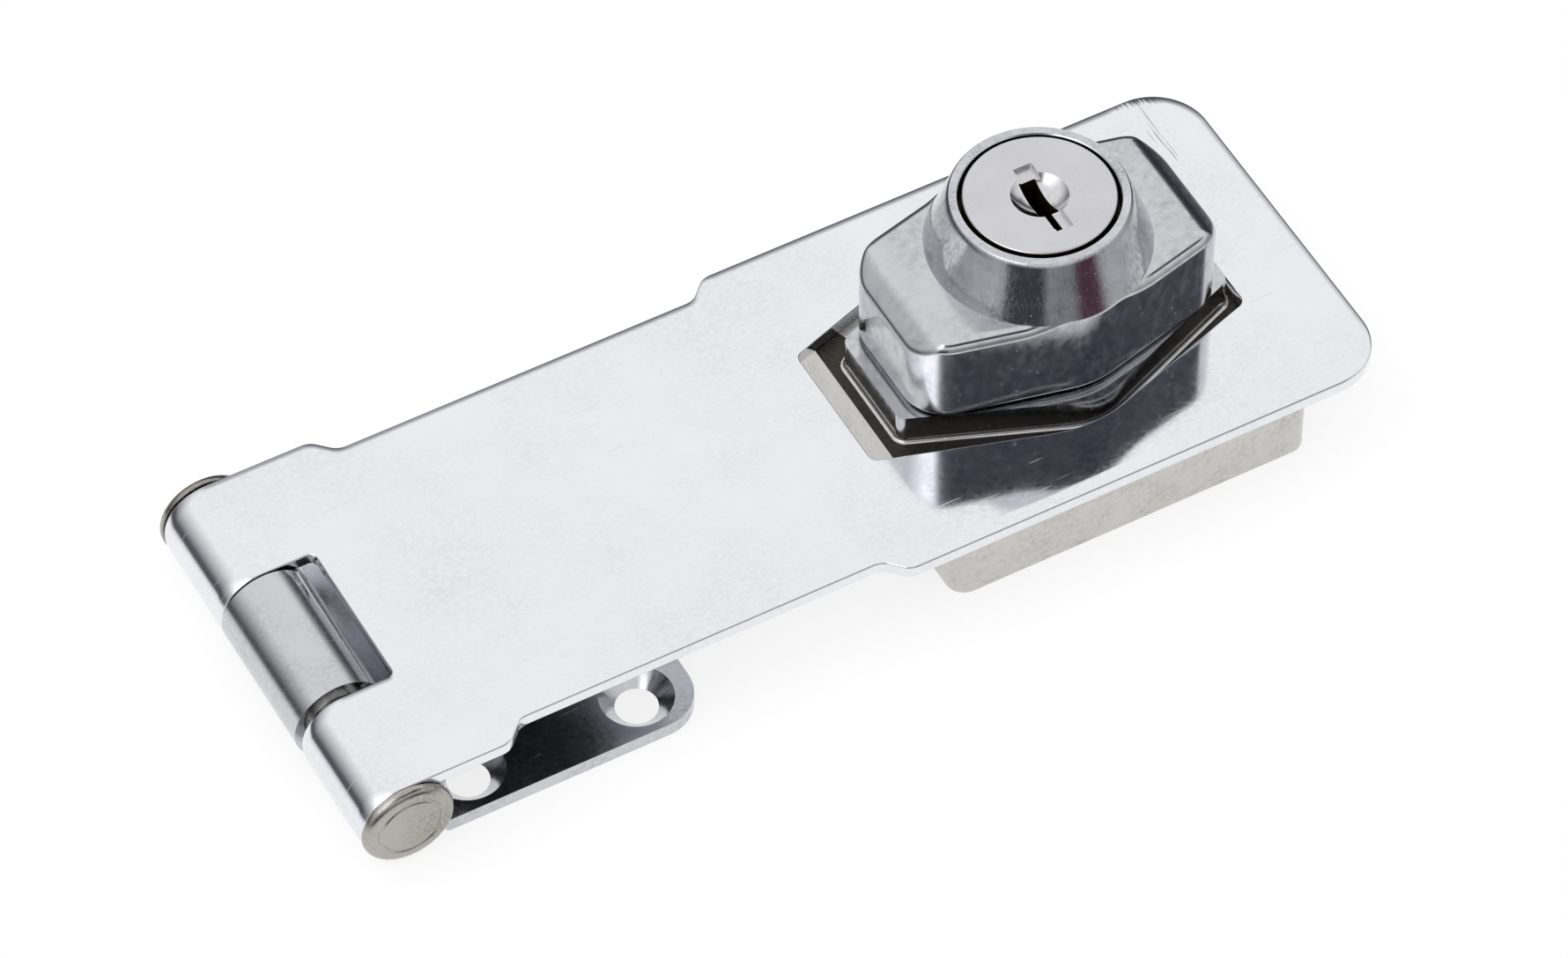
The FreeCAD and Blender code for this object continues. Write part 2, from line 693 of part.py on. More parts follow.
def add_knob():
    """Knob: hexagonal body, clipped tapered collar, hub with flats, plug bore and bolt window."""
    body = new_body("knob", LOCK_X)
    half = cell("knob_length") / 2
    end_half = cell("knob_end_width") / 2
    peak_half = cell("knob_peak_width") / 2
    outline = new_sketch(body, "outline", "XY_Plane", KNOB_FOOT)
    draw_hexagon(outline, half, end_half, peak_half)
    pad(body, outline, COLLAR_TOP - KNOB_FOOT)

    shoulder = new_sketch(body, "shoulder", "XZ_Plane")
    draw_path(shoulder, [
        ((REACH, KNOB_TOP),),
        ((REACH, COLLAR_TOP + OVERRUN),),
        ((cell("collar_top_radius"), COLLAR_TOP + OVERRUN),),
        ((cell("collar_top_radius"), COLLAR_TOP),),
        ((cell("collar_foot_radius"), KNOB_TOP),)])
    groove(body, shoulder)

    # Each facet falls from its crease through the end wall's top edge, and is cut as far again.
    crease = half - cell("end_facet_length")
    facet = new_sketch(body, "end_facets", "XZ_Plane")
    beyond = half + cell("end_facet_length")
    lower = KNOB_TOP - cell("end_facet_drop") * 2
    draw_path(facet, [((beyond, lower),), ((beyond, KNOB_TOP),), ((crease, KNOB_TOP),)])
    draw_path(facet, [((-beyond, lower),), ((-crease, KNOB_TOP),), ((-beyond, KNOB_TOP),)])
    pocket(body, facet, both_ways=True)
    round_edges(body, "peaks", cell("knob_peak_round"),
                upright_at(body, mirrored([(ZERO, peak_half)])))
    round_edges(body, "ends", cell("knob_end_round"), upright_at(body, mirrored(
        [(-half, end_half), (half, end_half)])))

    def at_foot(edge):
        return edge.BoundBox.ZMax < KNOB_FOOT.value + SAME

    def at_crease(edge):
        box = edge.BoundBox
        return box.XLength < SAME and box.ZLength < SAME and abs(box.ZMax - KNOB_TOP.value) < SAME

    def at_top(edge):
        box = edge.BoundBox
        on_wall = (box.ZMin > lower.value + SAME and box.ZMax < COLLAR_TOP.value - SAME
                   and not upright(edge) and beside_wall(body, edge))
        return on_wall or at_crease(edge)

    round_edges(body, "foot", cell("knob_foot_round"), at_foot)
    round_edges(body, "top_edge", cell("knob_edge_round"), at_top)

    hub = new_sketch(body, "hub", "XZ_Plane")
    draw_box(hub, ZERO, cell("hub_radius"), cell("recess_depth"), KNOB_FOOT + OVERRUN)
    revolve(body, hub)
    neck = new_sketch(body, "neck", "XY_Plane", cell("hub_foot"))
    radius = cell("neck_radius")
    flat = cell("neck_flat")
    edge = root(radius * radius - flat * flat)
    draw_path(neck, [
        ((edge, -flat),),
        ((edge, flat), (ZERO, ZERO), "left"),
        ((-edge, flat),),
        ((-edge, -flat), (ZERO, ZERO), "left")])
    pad(body, neck, cell("recess_depth") - cell("hub_foot"))
    clip = new_sketch(body, "clip_groove", "XZ_Plane")
    draw_box(clip, radius - cell("clip_groove_depth"), radius + OVERRUN,
             CLIP_FOOT - cell("stack_gap"), CLIP_TOP + cell("stack_gap"))
    groove(body, clip)

    bore = new_sketch(body, "bore", "XZ_Plane")
    seat = COLLAR_TOP - cell("face_recess_depth")
    catch_low, catch_high = catch_levels()
    groove_radius = cell("plug_radius") + cell("catch_reach") + cell("catch_groove_gap")
    draw_path(bore, [
        ((PLUG_BORE, ZERO),),
        ((PLUG_BORE, catch_low - cell("catch_groove_gap")),),
        ((groove_radius, catch_low - cell("catch_groove_gap")),),
        ((groove_radius, catch_high + cell("catch_groove_gap")),),
        ((PLUG_BORE, catch_high + cell("catch_groove_gap")),),
        ((PLUG_BORE, seat),),
        ((cell("face_recess_radius"), seat),),
        ((cell("face_recess_radius"), COLLAR_TOP + OVERRUN),),
        ((ZERO, COLLAR_TOP + OVERRUN),),
        ((ZERO, ZERO),)])
    groove(body, bore)
    window = new_sketch(body, "bolt_window", "XY_Plane",
                        cell("bolt_bottom") - cell("bolt_clearance"))
    side = BOLT_HALF + cell("bolt_clearance")
    draw_box(window, ZERO, cell("hub_radius") + OVERRUN, -side, side)
    pocket(body, window, cell("bolt_height") + cell("bolt_clearance") * 2, upward=True)


def catch_levels():
    """Gives the lowest and highest level of the catch wafer."""
    low = cell("catch_place")
    return low, low + cell("wafer_thickness")


def wafer_levels():
    """Gives the lowest level of each coded wafer, from the face down."""
    top = FACE_BACK - cell("first_wafer")
    return [top - cell("wafer_pitch") * number for number in range(SIZES["wafer_count"])]


def add_plug():
    """Plug: a round face and barrel with a keyway, cross slots for wafers and a drive pin."""
    body = new_body("plug", LOCK_X)
    section = new_sketch(body, "section", "XZ_Plane")
    depth = cell("dimple_depth")
    wide = cell("dimple_radius")
    bowl = Size((wide.value ** 2 + depth.value ** 2) / (2 * depth.value),
                f"(({wide.formula} ^ 2 + {depth.formula} ^ 2) / (2 * {depth.formula}))")
    draw_path(section, [
        ((cell("plug_radius"), cell("plug_foot")),),
        ((cell("plug_radius"), FACE_BACK),),
        ((cell("face_radius"), FACE_BACK),),
        ((cell("face_radius"), FACE_TOP),),
        ((wide, FACE_TOP),),
        ((ZERO, FACE_TOP - depth), (ZERO, FACE_TOP - depth + bowl), "right"),
        ((ZERO, cell("plug_foot")),)])
    revolve(body, section)
    pin = new_sketch(body, "drive_pin", "XY_Plane", cell("bolt_bottom"))
    draw_circle(pin, cell("drive_pin_radius"), PIN_PLACE_X, PIN_PLACE_Y)
    pad(body, pin, cell("plug_foot") - cell("bolt_bottom"))

    keyway = new_sketch(body, "keyway", "XY_Plane", FACE_TOP)
    draw_path(keyway, [
        ((cell("key_right"), cell("key_top")),),
        ((-cell("key_left"), cell("key_top")),),
        ((-cell("key_left"), -cell("key_bottom")),),
        ((cell("key_slot_right"), -cell("key_bottom")),),
        ((cell("key_slot_right"), -cell("key_waist")),),
        ((cell("key_right"), -cell("key_waist")),)])
    pocket(body, keyway, cell("key_depth"))
    steps = new_sketch(body, "keyway_steps", "XY_Plane", FACE_TOP)
    draw_box(steps, -cell("far_step_left"), cell("far_step_right"),
             ZERO, cell("far_step_end"))
    pocket(body, steps, cell("step_depth"))
    near = new_sketch(body, "keyway_near_step", "XY_Plane", FACE_TOP)
    draw_box(near, -cell("key_left"), cell("near_step_right"),
             -cell("near_step_end"), ZERO)
    pocket(body, near, cell("step_depth"))

    reach = cell("plug_radius") + OVERRUN
    pocket_right = SLOT_HALF + cell("wafer_lug_reach")
    levels = wafer_levels() + [catch_levels()[0]]
    gap = cell("wafer_clearance")
    for number, level in enumerate(levels, start=1):
        slot = new_sketch(body, f"wafer_slot_{number}", "XY_Plane", level - gap)
        draw_box(slot, -SLOT_HALF, SLOT_HALF, -reach, reach)
        pocket(body, slot, cell("wafer_thickness") + gap * 2, upward=True)
        nest = new_sketch(body, f"spring_nest_{number}", "XY_Plane", level - gap)
        draw_box(nest, ZERO, pocket_right, -cell("spring_seat"),
                 cell("wafer_lug_top") + cell("wafer_clearance"))
        pocket(body, nest, cell("wafer_thickness") + gap * 2, upward=True)


def add_wafer(label, level, reach_down):
    """Wafer: a flat plate with round ends, a window for the blade and a lug for its spring."""
    body = new_body(label, LOCK_X)
    radius = cell("wafer_radius")
    side = WAFER_HALF
    gap = cell("wafer_key_gap")
    lug_right = side + cell("wafer_lug_reach") - cell("wafer_clearance")
    lug_top = cell("wafer_lug_top")
    lug_bottom = lug_top - cell("wafer_lug_width")
    top_corner = root(radius * radius - side * side)
    low_corner = -(top_corner + reach_down)
    plate = new_sketch(body, "plate", "XY_Plane", level)
    draw_path(plate, [
        ((side, lug_bottom),),
        ((lug_right, lug_bottom),),
        ((lug_right, lug_top),),
        ((side, lug_top),),
        ((side, top_corner),),
        ((-side, top_corner), (ZERO, ZERO), "left"),
        ((-side, low_corner),),
        ((side, low_corner), (ZERO, -reach_down), "left")])
    draw_box(plate, -(cell("key_left") + gap), cell("key_right") + gap,
             -(cell("key_bottom") + gap), cell("key_top") + gap)
    pad(body, plate, cell("wafer_thickness"))


def add_spring(label, level):
    """Spring: a small coil between a wafer's lug and the end of its nest, its wire six-sided."""
    wire = cell("spring_wire")
    radius = cell("spring_radius") - wire / 2
    start = -cell("spring_seat") + cell("spring_end_gap") + wire / 2
    end = cell("wafer_lug_top") - cell("wafer_lug_width") - cell("spring_end_gap") - wire / 2
    along = SLOT_HALF + cell("wafer_lug_reach") / 2
    height = level + cell("wafer_thickness") / 2
    coil = document.addObject("Part::Helix", f"{label}_coil")
    coil.LocalCoord = "Right-handed"
    bind(coil, "Radius", radius)
    bind(coil, "Pitch", (end - start) / cell("spring_turns"))
    bind(coil, "Height", end - start)
    section = document.addObject("Part::RegularPolygon", f"{label}_wire")
    section.Polygon = 6
    bind(section, "Circumradius", wire / 2)
    bind(section, "Placement.Base.x", radius)
    section.Placement.Rotation = FreeCAD.Rotation(FreeCAD.Vector(1, 0, 0), 90)
    document.recompute()
    spring = document.addObject("Part::Sweep", label)
    spring.Label = label
    spring.Sections = [section]
    spring.Spine = (coil, ["Edge1"])
    spring.Solid = True
    spring.Frenet = True
    spring.Placement.Rotation = FreeCAD.Rotation(FreeCAD.Vector(1, 0, 0), -90)
    bind(spring, "Placement.Base.x", LOCK_X + along)
    bind(spring, "Placement.Base.y", start)
    bind(spring, "Placement.Base.z", height)
    document.recompute()


def add_lock_bolt():
    """Bolt: a flat bar with a cross slot for the plug's drive pin."""
    body = new_body("lock_bolt", LOCK_X)
    bar = new_sketch(body, "bar", "XY_Plane", cell("bolt_bottom"))
    tip_edge = root(BOLT_TIP * BOLT_TIP - BOLT_HALF * BOLT_HALF)
    draw_path(bar, [
        ((tip_edge, -BOLT_HALF),),
        ((tip_edge, BOLT_HALF), (ZERO, ZERO), "left"),
        ((-cell("bolt_back"), BOLT_HALF),),
        ((-cell("bolt_back"), -BOLT_HALF),)])
    pad(body, bar, cell("bolt_height"))
    slot = new_sketch(body, "pin_slot", "XY_Plane", cell("bolt_bottom"))
    room = cell("drive_pin_radius") + cell("drive_pin_gap")
    draw_box(slot, PIN_PLACE_X - room, PIN_PLACE_X + room,
             -(cell("drive_pin_offset") + room), PIN_PLACE_Y + room)
    pocket(body, slot, both_ways=True)


def add_friction_washer():
    """Friction washer: a thin ring between the housing ring and the stop washer."""
    body = new_body("friction_washer", LOCK_X)
    ring = new_sketch(body, "ring", "XY_Plane", FRICTION_FOOT)
    draw_circle(ring, cell("recess_radius") - cell("washer_edge_gap"))
    draw_circle(ring, cell("neck_radius") + cell("washer_clearance"))
    pad(body, ring, cell("friction_washer_thickness"))


def add_stop_washer():
    """Stop washer: a ring keyed on the neck's flats, with the tab that limits the turn."""
    body = new_body("stop_washer", LOCK_X)
    disc = new_sketch(body, "disc", "XY_Plane", STOP_FOOT)
    draw_circle(disc, cell("recess_radius") - cell("washer_edge_gap"))
    pad(body, disc, cell("stop_washer_thickness"))
    tab = new_sketch(body, "tab", "XY_Plane", STOP_FOOT)
    half = cell("stop_tab_width") / 2
    draw_box(tab, -(cell("recess_radius") + cell("stop_tab_length")), -cell("neck_radius"),
             -half, half)
    pad(body, tab, cell("stop_washer_thickness"))
    hole = new_sketch(body, "hole", "XY_Plane", STOP_FOOT)
    radius = cell("neck_radius") + cell("washer_clearance")
    flat = cell("neck_flat") + cell("washer_clearance")
    edge = root(radius * radius - flat * flat)
    draw_path(hole, [
        ((edge, -flat),),
        ((edge, flat), (ZERO, ZERO), "left"),
        ((-edge, flat),),
        ((-edge, -flat), (ZERO, ZERO), "left")])
    pocket(body, hole, both_ways=True)


def add_retaining_clip():
    """Retaining clip: an open ring in the neck's groove."""
    body = new_body("retaining_clip", LOCK_X)
    ring = new_sketch(body, "ring", "XY_Plane", CLIP_FOOT)
    outer = cell("clip_outer_radius")
    half = cell("clip_opening") / 2
    outer_edge = root(outer * outer - half * half)
    inner_edge = root(CLIP_INNER * CLIP_INNER - half * half)
    centre = (ZERO, ZERO)
    draw_path(ring, [
        ((outer_edge, half),),
        ((outer_edge, -half), centre, "left"),
        ((inner_edge, -half),),
        ((inner_edge, half), centre, "right")])
    pad(body, ring, cell("clip_thickness"))


add_strap()
add_leaf()
add_hinge_pin()
add_base()
add_knob()
add_friction_washer()
add_stop_washer()
add_retaining_clip()
add_plug()
for place, wafer_level in enumerate(wafer_levels(), start=1):
    add_wafer(f"wafer_{place}", wafer_level, ZERO)
    add_spring(f"wafer_spring_{place}", wafer_level)
add_wafer("catch_wafer", catch_levels()[0], cell("catch_reach"))
add_spring("catch_spring", catch_levels()[0])
add_lock_bolt()

document.recompute()
broken = [thing.Name for thing in document.Objects
          if "Invalid" in thing.State or "Error" in thing.State]
if broken:
    raise RuntimeError(f"objects in error: {broken}")

NODES = ["strap", "leaf", "hinge_pin", "base", "knob", "friction_washer", "stop_washer",
         "retaining_clip", "plug", "catch_wafer", "catch_spring", "lock_bolt"]
NODES += [f"{kind}_{place}" for kind in ("wafer", "wafer_spring")
          for place in range(1, SIZES["wafer_count"] + 1)]

os.makedirs("parts", exist_ok=True)
for label in NODES:
    part = document.getObject(label)
    if part.Shape.isNull() or not part.Shape.isValid():
        raise RuntimeError(f"{label} has no valid shape")
    part.Shape.exportStep(f"parts/{label}.step")
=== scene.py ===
"""Keyed hasp lock: the visual model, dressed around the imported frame."""
import json
import logging
import math
from dataclasses import dataclass
from enum import Enum
from typing import Callable, Iterable, Sequence

import bmesh
import bpy
from mathutils import Euler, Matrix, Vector


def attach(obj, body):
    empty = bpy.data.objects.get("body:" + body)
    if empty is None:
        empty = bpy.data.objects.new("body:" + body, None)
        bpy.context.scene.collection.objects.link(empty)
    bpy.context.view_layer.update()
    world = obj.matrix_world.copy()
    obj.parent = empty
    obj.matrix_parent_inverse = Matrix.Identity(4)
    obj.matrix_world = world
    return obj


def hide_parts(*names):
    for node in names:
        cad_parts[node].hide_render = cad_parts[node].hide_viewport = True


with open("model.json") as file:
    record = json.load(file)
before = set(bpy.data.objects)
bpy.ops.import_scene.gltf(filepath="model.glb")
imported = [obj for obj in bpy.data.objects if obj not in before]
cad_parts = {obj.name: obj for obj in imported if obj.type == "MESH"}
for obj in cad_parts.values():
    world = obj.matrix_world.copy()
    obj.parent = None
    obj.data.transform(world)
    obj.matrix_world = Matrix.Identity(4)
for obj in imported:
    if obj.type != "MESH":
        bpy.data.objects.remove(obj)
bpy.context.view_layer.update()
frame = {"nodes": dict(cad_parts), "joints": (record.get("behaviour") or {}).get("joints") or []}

LOG = logging.getLogger("keyed_hasp_lock")

MM = 0.001
WHITE = (1.0, 1.0, 1.0, 1.0)
Flat = tuple[float, float]
Place = tuple[float, float, float]
Socket = bpy.types.NodeSocket


def joint_place(name: str) -> Place:
    """Gives the place of a joint of the frame.

    Args:
        name: the joint's name in the record.

    Returns:
        The point on its axis, in millimetres.
    """
    joint = next(item for item in frame["joints"] if item["name"] == name)
    return tuple(value / MM for value in joint["pos_m"])


HINGE_X, _, HINGE_Z = joint_place("strap_hinge")
LOCK_X = joint_place("knob_turn")[0]
SCREW_HOLE, SCREW_HEAD = 4.3, 7.45
# How far a cutting solid reaches past the surface that it cuts.
OVER = 1.0


# Outlines and solids

@dataclass(frozen=True)
class Corner:
    """A corner of an outline, in millimetres, with the radius that rounds it."""

    x: float
    y: float
    radius: float = 0.0


class Outline:
    """A flat closed line with round corners, drawn counter-clockwise."""

    ARC_STEP = math.radians(5.0)
    STRAIGHT = 1e-6

    def __init__(self, corners: Sequence[Corner], pitch: float = 0.0) -> None:
        """Rounds the corners and samples the line.

        Args:
            corners: the sharp corners in order.
            pitch: the longest straight step, or 0 for whole straight runs.
        """
        count = len(corners)
        runs = [self._round(corners[i - 1], corners[i], corners[(i + 1) % count])
                for i in range(count)]
        samples = []
        for index, run in enumerate(runs):
            after = runs[(index + 1) % count]
            samples += run + self._straight(run[-1][0], after[0][0], pitch)
        self.points = [point for point, _ in samples]
        self.normals = [normal for _, normal in samples]

    def _straight(self, start: Vector, end: Vector, pitch: float
                  ) -> list[tuple[Vector, Vector]]:
        """Gives even points between two corners, with their outward normal."""
        along = end - start
        steps = int(along.length / pitch) if pitch else 0
        normal = Vector((along.y, -along.x)).normalized()
        return [(start + along * (step / steps), normal) for step in range(1, steps)]

    def _round(self, before: Corner, here: Corner, after: Corner
               ) -> list[tuple[Vector, Vector]]:
        """Rounds one corner.

        Args:
            before: the corner before it.
            here: the corner itself.
            after: the corner after it.

        Returns:
            Points on the arc with their outward normals, or the sharp corner.
        """
        point = Vector((here.x, here.y))
        incoming = (point - Vector((before.x, before.y))).normalized()
        outgoing = (Vector((after.x, after.y)) - point).normalized()
        turn = math.atan2(incoming.cross(outgoing), incoming.dot(outgoing))
        first = Vector((incoming.y, -incoming.x))
        last = Vector((outgoing.y, -outgoing.x))
        if here.radius <= 0 or abs(turn) < self.STRAIGHT:
            return [(point, (first + last) / (1 + first.dot(last)))]
        side = 1.0 if turn > 0 else -1.0
        start = point - incoming * here.radius * math.tan(abs(turn) / 2)
        centre = start - first * here.radius * side
        steps = max(2, math.ceil(abs(turn) / self.ARC_STEP))
        run = []
        for step in range(steps + 1):
            angle = turn * step / steps
            normal = Vector((first.x * math.cos(angle) - first.y * math.sin(angle),
                             first.x * math.sin(angle) + first.y * math.cos(angle)))
            run.append((centre + normal * here.radius * side, normal))
        return run

    def ring(self, offset: float = 0.0) -> list[Flat]:
        """Gives the line's points, moved outward by an offset in millimetres."""
        return [tuple(point + normal * offset)
                for point, normal in zip(self.points, self.normals)]


def hexagon(half_length: float, end_half: float, peak_half: float, end_round: float,
            peak_round: float, middle: float = 0.0, pitch: float = 0.0) -> Outline:
    """Draws the long hexagon of the slot, the boss and the knob.

    Args:
        half_length: half its length along X.
        end_half: half the width of its short ends.
        peak_half: half the width between the sharp peaks.
        end_round: radius of the four end corners.
        peak_round: radius of the two peaks.
        middle: where its middle lies on X.
        pitch: the longest straight step, or 0.

    Returns:
        The outline.
    """
    half = ((half_length, -end_half, end_round), (half_length, end_half, end_round),
            (0.0, peak_half, peak_round))
    return Outline([Corner(middle + side * x, side * y, radius)
                    for side in (1, -1) for x, y, radius in half], pitch)


def circle(radius: float, steps: int = 128) -> list[Flat]:
    """Gives points round a circle, in millimetres."""
    return [(radius * math.cos(2 * math.pi * step / steps),
             radius * math.sin(2 * math.pi * step / steps)) for step in range(steps)]


def quarter(steps: int) -> list[float]:
    """Gives the angles of even steps round a quarter circle, with both ends."""
    return [math.radians(90 * step / steps) for step in range(steps + 1)]


def level_ring(points: Iterable[Flat], level: float, x: float = 0.0,
               y: float = 0.0) -> list[Place]:
    """Lifts flat points to a level and moves them to a centre."""
    return [(px + x, py + y, level) for px, py in points]


def select_only(piece: bpy.types.Object) -> None:
    """Makes a piece the only selected and active one."""
    bpy.ops.object.select_all(action="DESELECT")
    piece.select_set(True)
    bpy.context.view_layer.objects.active = piece


class Shell:
    """A shell that is drawn ring by ring: a circle is added, shaped and extruded on."""

    WELD = 1e-7

    def __init__(self, name: str, first: Sequence[Place]) -> None:
        """Adds the first ring.

        Args:
            name: the piece's name.
            first: its points in millimetres.
        """
        bpy.ops.object.select_all(action="DESELECT")
        bpy.ops.mesh.primitive_circle_add(vertices=len(first), radius=1.0)
        self.piece = bpy.context.object
        self.piece.name = name
        self.piece.data.name = name
        bpy.ops.object.mode_set(mode="EDIT")
        bpy.ops.mesh.select_all(action="SELECT")
        self.first = self.ring = list(range(len(first)))
        self._shape(first)

    def _mesh(self) -> bmesh.types.BMesh:
        """Gives the mesh in edit mode, its vertices ready to be looked up."""
        mesh = bmesh.from_edit_mesh(self.piece.data)
        mesh.verts.ensure_lookup_table()
        return mesh

    def _shape(self, points: Sequence[Place]) -> None:
        """Moves the newest ring's vertices to points in millimetres."""
        mesh = self._mesh()
        for index, point in zip(self.ring, points):
            mesh.verts[index].co = Vector(point) * MM
        bmesh.update_edit_mesh(self.piece.data)

    def add(self, points: Sequence[Place]) -> None:
        """Extrudes the newest ring to the next one, which has as many points."""
        bpy.ops.mesh.extrude_region_move()
        mesh = self._mesh()
        order = {index: place for place, index in enumerate(self.ring)}
        fresh = [0] * len(order)
        for vertex in mesh.verts:
            if vertex.select:
                old = next(edge.other_vert(vertex).index for edge in vertex.link_edges
                           if edge.other_vert(vertex).index in order)
                fresh[order[old]] = vertex.index
        self.ring = fresh
        self._shape(points)

    def _cap(self, ring: Sequence[int]) -> None:
        """Closes a ring with a flat face."""
        bpy.ops.mesh.select_all(action="DESELECT")
        mesh = self._mesh()
        for index in ring:
            mesh.verts[index].select = True
        mesh.select_flush(True)
        bmesh.update_edit_mesh(self.piece.data)
        bpy.ops.mesh.edge_face_add()

    def close(self, capped: bool) -> bpy.types.Object:
        """Closes the shell and turns its faces outward.

        Args:
            capped: whether flat faces close its ends, or else its last ring is welded to
                the first one, on which it lies.

        Returns:
            The piece.
        """
        if capped:
            self._cap(self.ring)
            self._cap(self.first)
        bpy.ops.mesh.select_all(action="SELECT")
        bpy.ops.mesh.remove_doubles(threshold=self.WELD)
        bpy.ops.mesh.normals_make_consistent(inside=False)
        bpy.ops.object.mode_set(mode="OBJECT")
        return self.piece


def stack(name: str, rings: Sequence[Sequence[Place]], capped: bool = True
          ) -> bpy.types.Object:
    """Draws a solid from rings.

    Args:
        name: the piece's name.
        rings: its rings in order, in millimetres.
        capped: whether flat faces close its ends, or else its last ring joins its first.

    Returns:
        The solid.
    """
    shell = Shell(name, rings[0])
    for ring in rings[1:]:
        shell.add(ring)
    return shell.close(capped)


def prism(name: str, outline: Outline, low: float, high: float, x: float = 0.0
          ) -> bpy.types.Object:
    """Draws an upright prism on an outline, between two levels in millimetres."""
    return stack(name, [level_ring(outline.ring(), level, x) for level in (low, high)])


def cone(name: str, radii: Flat, levels: Flat, x: float, y: float = 0.0,
         steps: int = 96) -> bpy.types.Object:
    """Draws an upright cone between two levels in millimetres."""
    return stack(name, [level_ring(circle(radius, steps), level, x, y)
                        for radius, level in zip(radii, levels)])


def disc(name: str, radius: float, low: float, high: float, x: float, y: float = 0.0,
         steps: int = 96) -> bpy.types.Object:
    """Draws an upright round bar between two levels in millimetres."""
    return cone(name, (radius, radius), (low, high), x, y, steps)


def block(name: str, low: Place, high: Place) -> bpy.types.Object:
    """Draws a box between two corners in millimetres."""
    bpy.ops.object.select_all(action="DESELECT")
    bpy.ops.mesh.primitive_cube_add(size=1.0)
    piece = bpy.context.object
    piece.name = name
    bpy.ops.transform.resize(value=[(b - a) * MM for a, b in zip(low, high)])
    bpy.ops.transform.translate(value=[(a + b) / 2 * MM for a, b in zip(low, high)])
    bpy.ops.object.transform_apply(location=True, rotation=True, scale=True)
    return piece


def apply_all(piece: bpy.types.Object) -> None:
    """Applies a piece's modifiers in order."""
    select_only(piece)
    for modifier in list(piece.modifiers):
        bpy.ops.object.modifier_apply(modifier=modifier.name)


def combine(piece: bpy.types.Object, others: Sequence[bpy.types.Object],
            operation: str = "DIFFERENCE") -> None:
    """Cuts other solids out of a piece, or unites them with it, and deletes them.

    Args:
        piece: the piece that stays.
        others: the solids that are used up.
        operation: DIFFERENCE or UNION.
    """
    for other in others:
        modifier = piece.modifiers.new("combine", "BOOLEAN")
        modifier.operation = operation
        modifier.solver = "EXACT"
        modifier.object = other
        apply_all(piece)
        bpy.data.objects.remove(other)


def break_edges(piece: bpy.types.Object, width: float, angle: float,
                corners: str = "MITER_SHARP") -> None:
    """Breaks a piece's sharp edges with a small round.

    Args:
        piece: the piece.
        width: how far the round reaches from the edge, in millimetres.
        angle: the least angle of an edge that is broken, in degrees.
        corners: how the rounds meet.
    """
    bevel = piece.modifiers.new("broken_edges", "BEVEL")
    bevel.width = width * MM
    bevel.segments = 3
    bevel.limit_method = "ANGLE"
    bevel.angle_limit = math.radians(angle)
    bevel.miter_outer = corners
    apply_all(piece)


def shade(piece: bpy.types.Object, angle: float = 35.0) -> None:
    """Shades a piece smooth below an angle, large faces staying flat."""
    select_only(piece)
    bpy.ops.object.shade_smooth_by_angle(angle=math.radians(angle))
    weighted = piece.modifiers.new("weighted", "WEIGHTED_NORMAL")
    weighted.keep_sharp = True
    weighted.weight = 100
    apply_all(piece)


# Finishes

def linear(code: str) -> tuple[float, float, float, float]:
    """Turns an sRGB hex colour to linear light.

    Args:
        code: six hex digits after a hash sign.

    Returns:
        Linear red, green, blue and an alpha of one.
    """
    values = [int(code[i:i + 2], 16) / 255 for i in (1, 3, 5)]
    lin = [v / 12.92 if v <= 0.04045 else ((v + 0.055) / 1.055) ** 2.4 for v in values]
    return (*lin, 1.0)


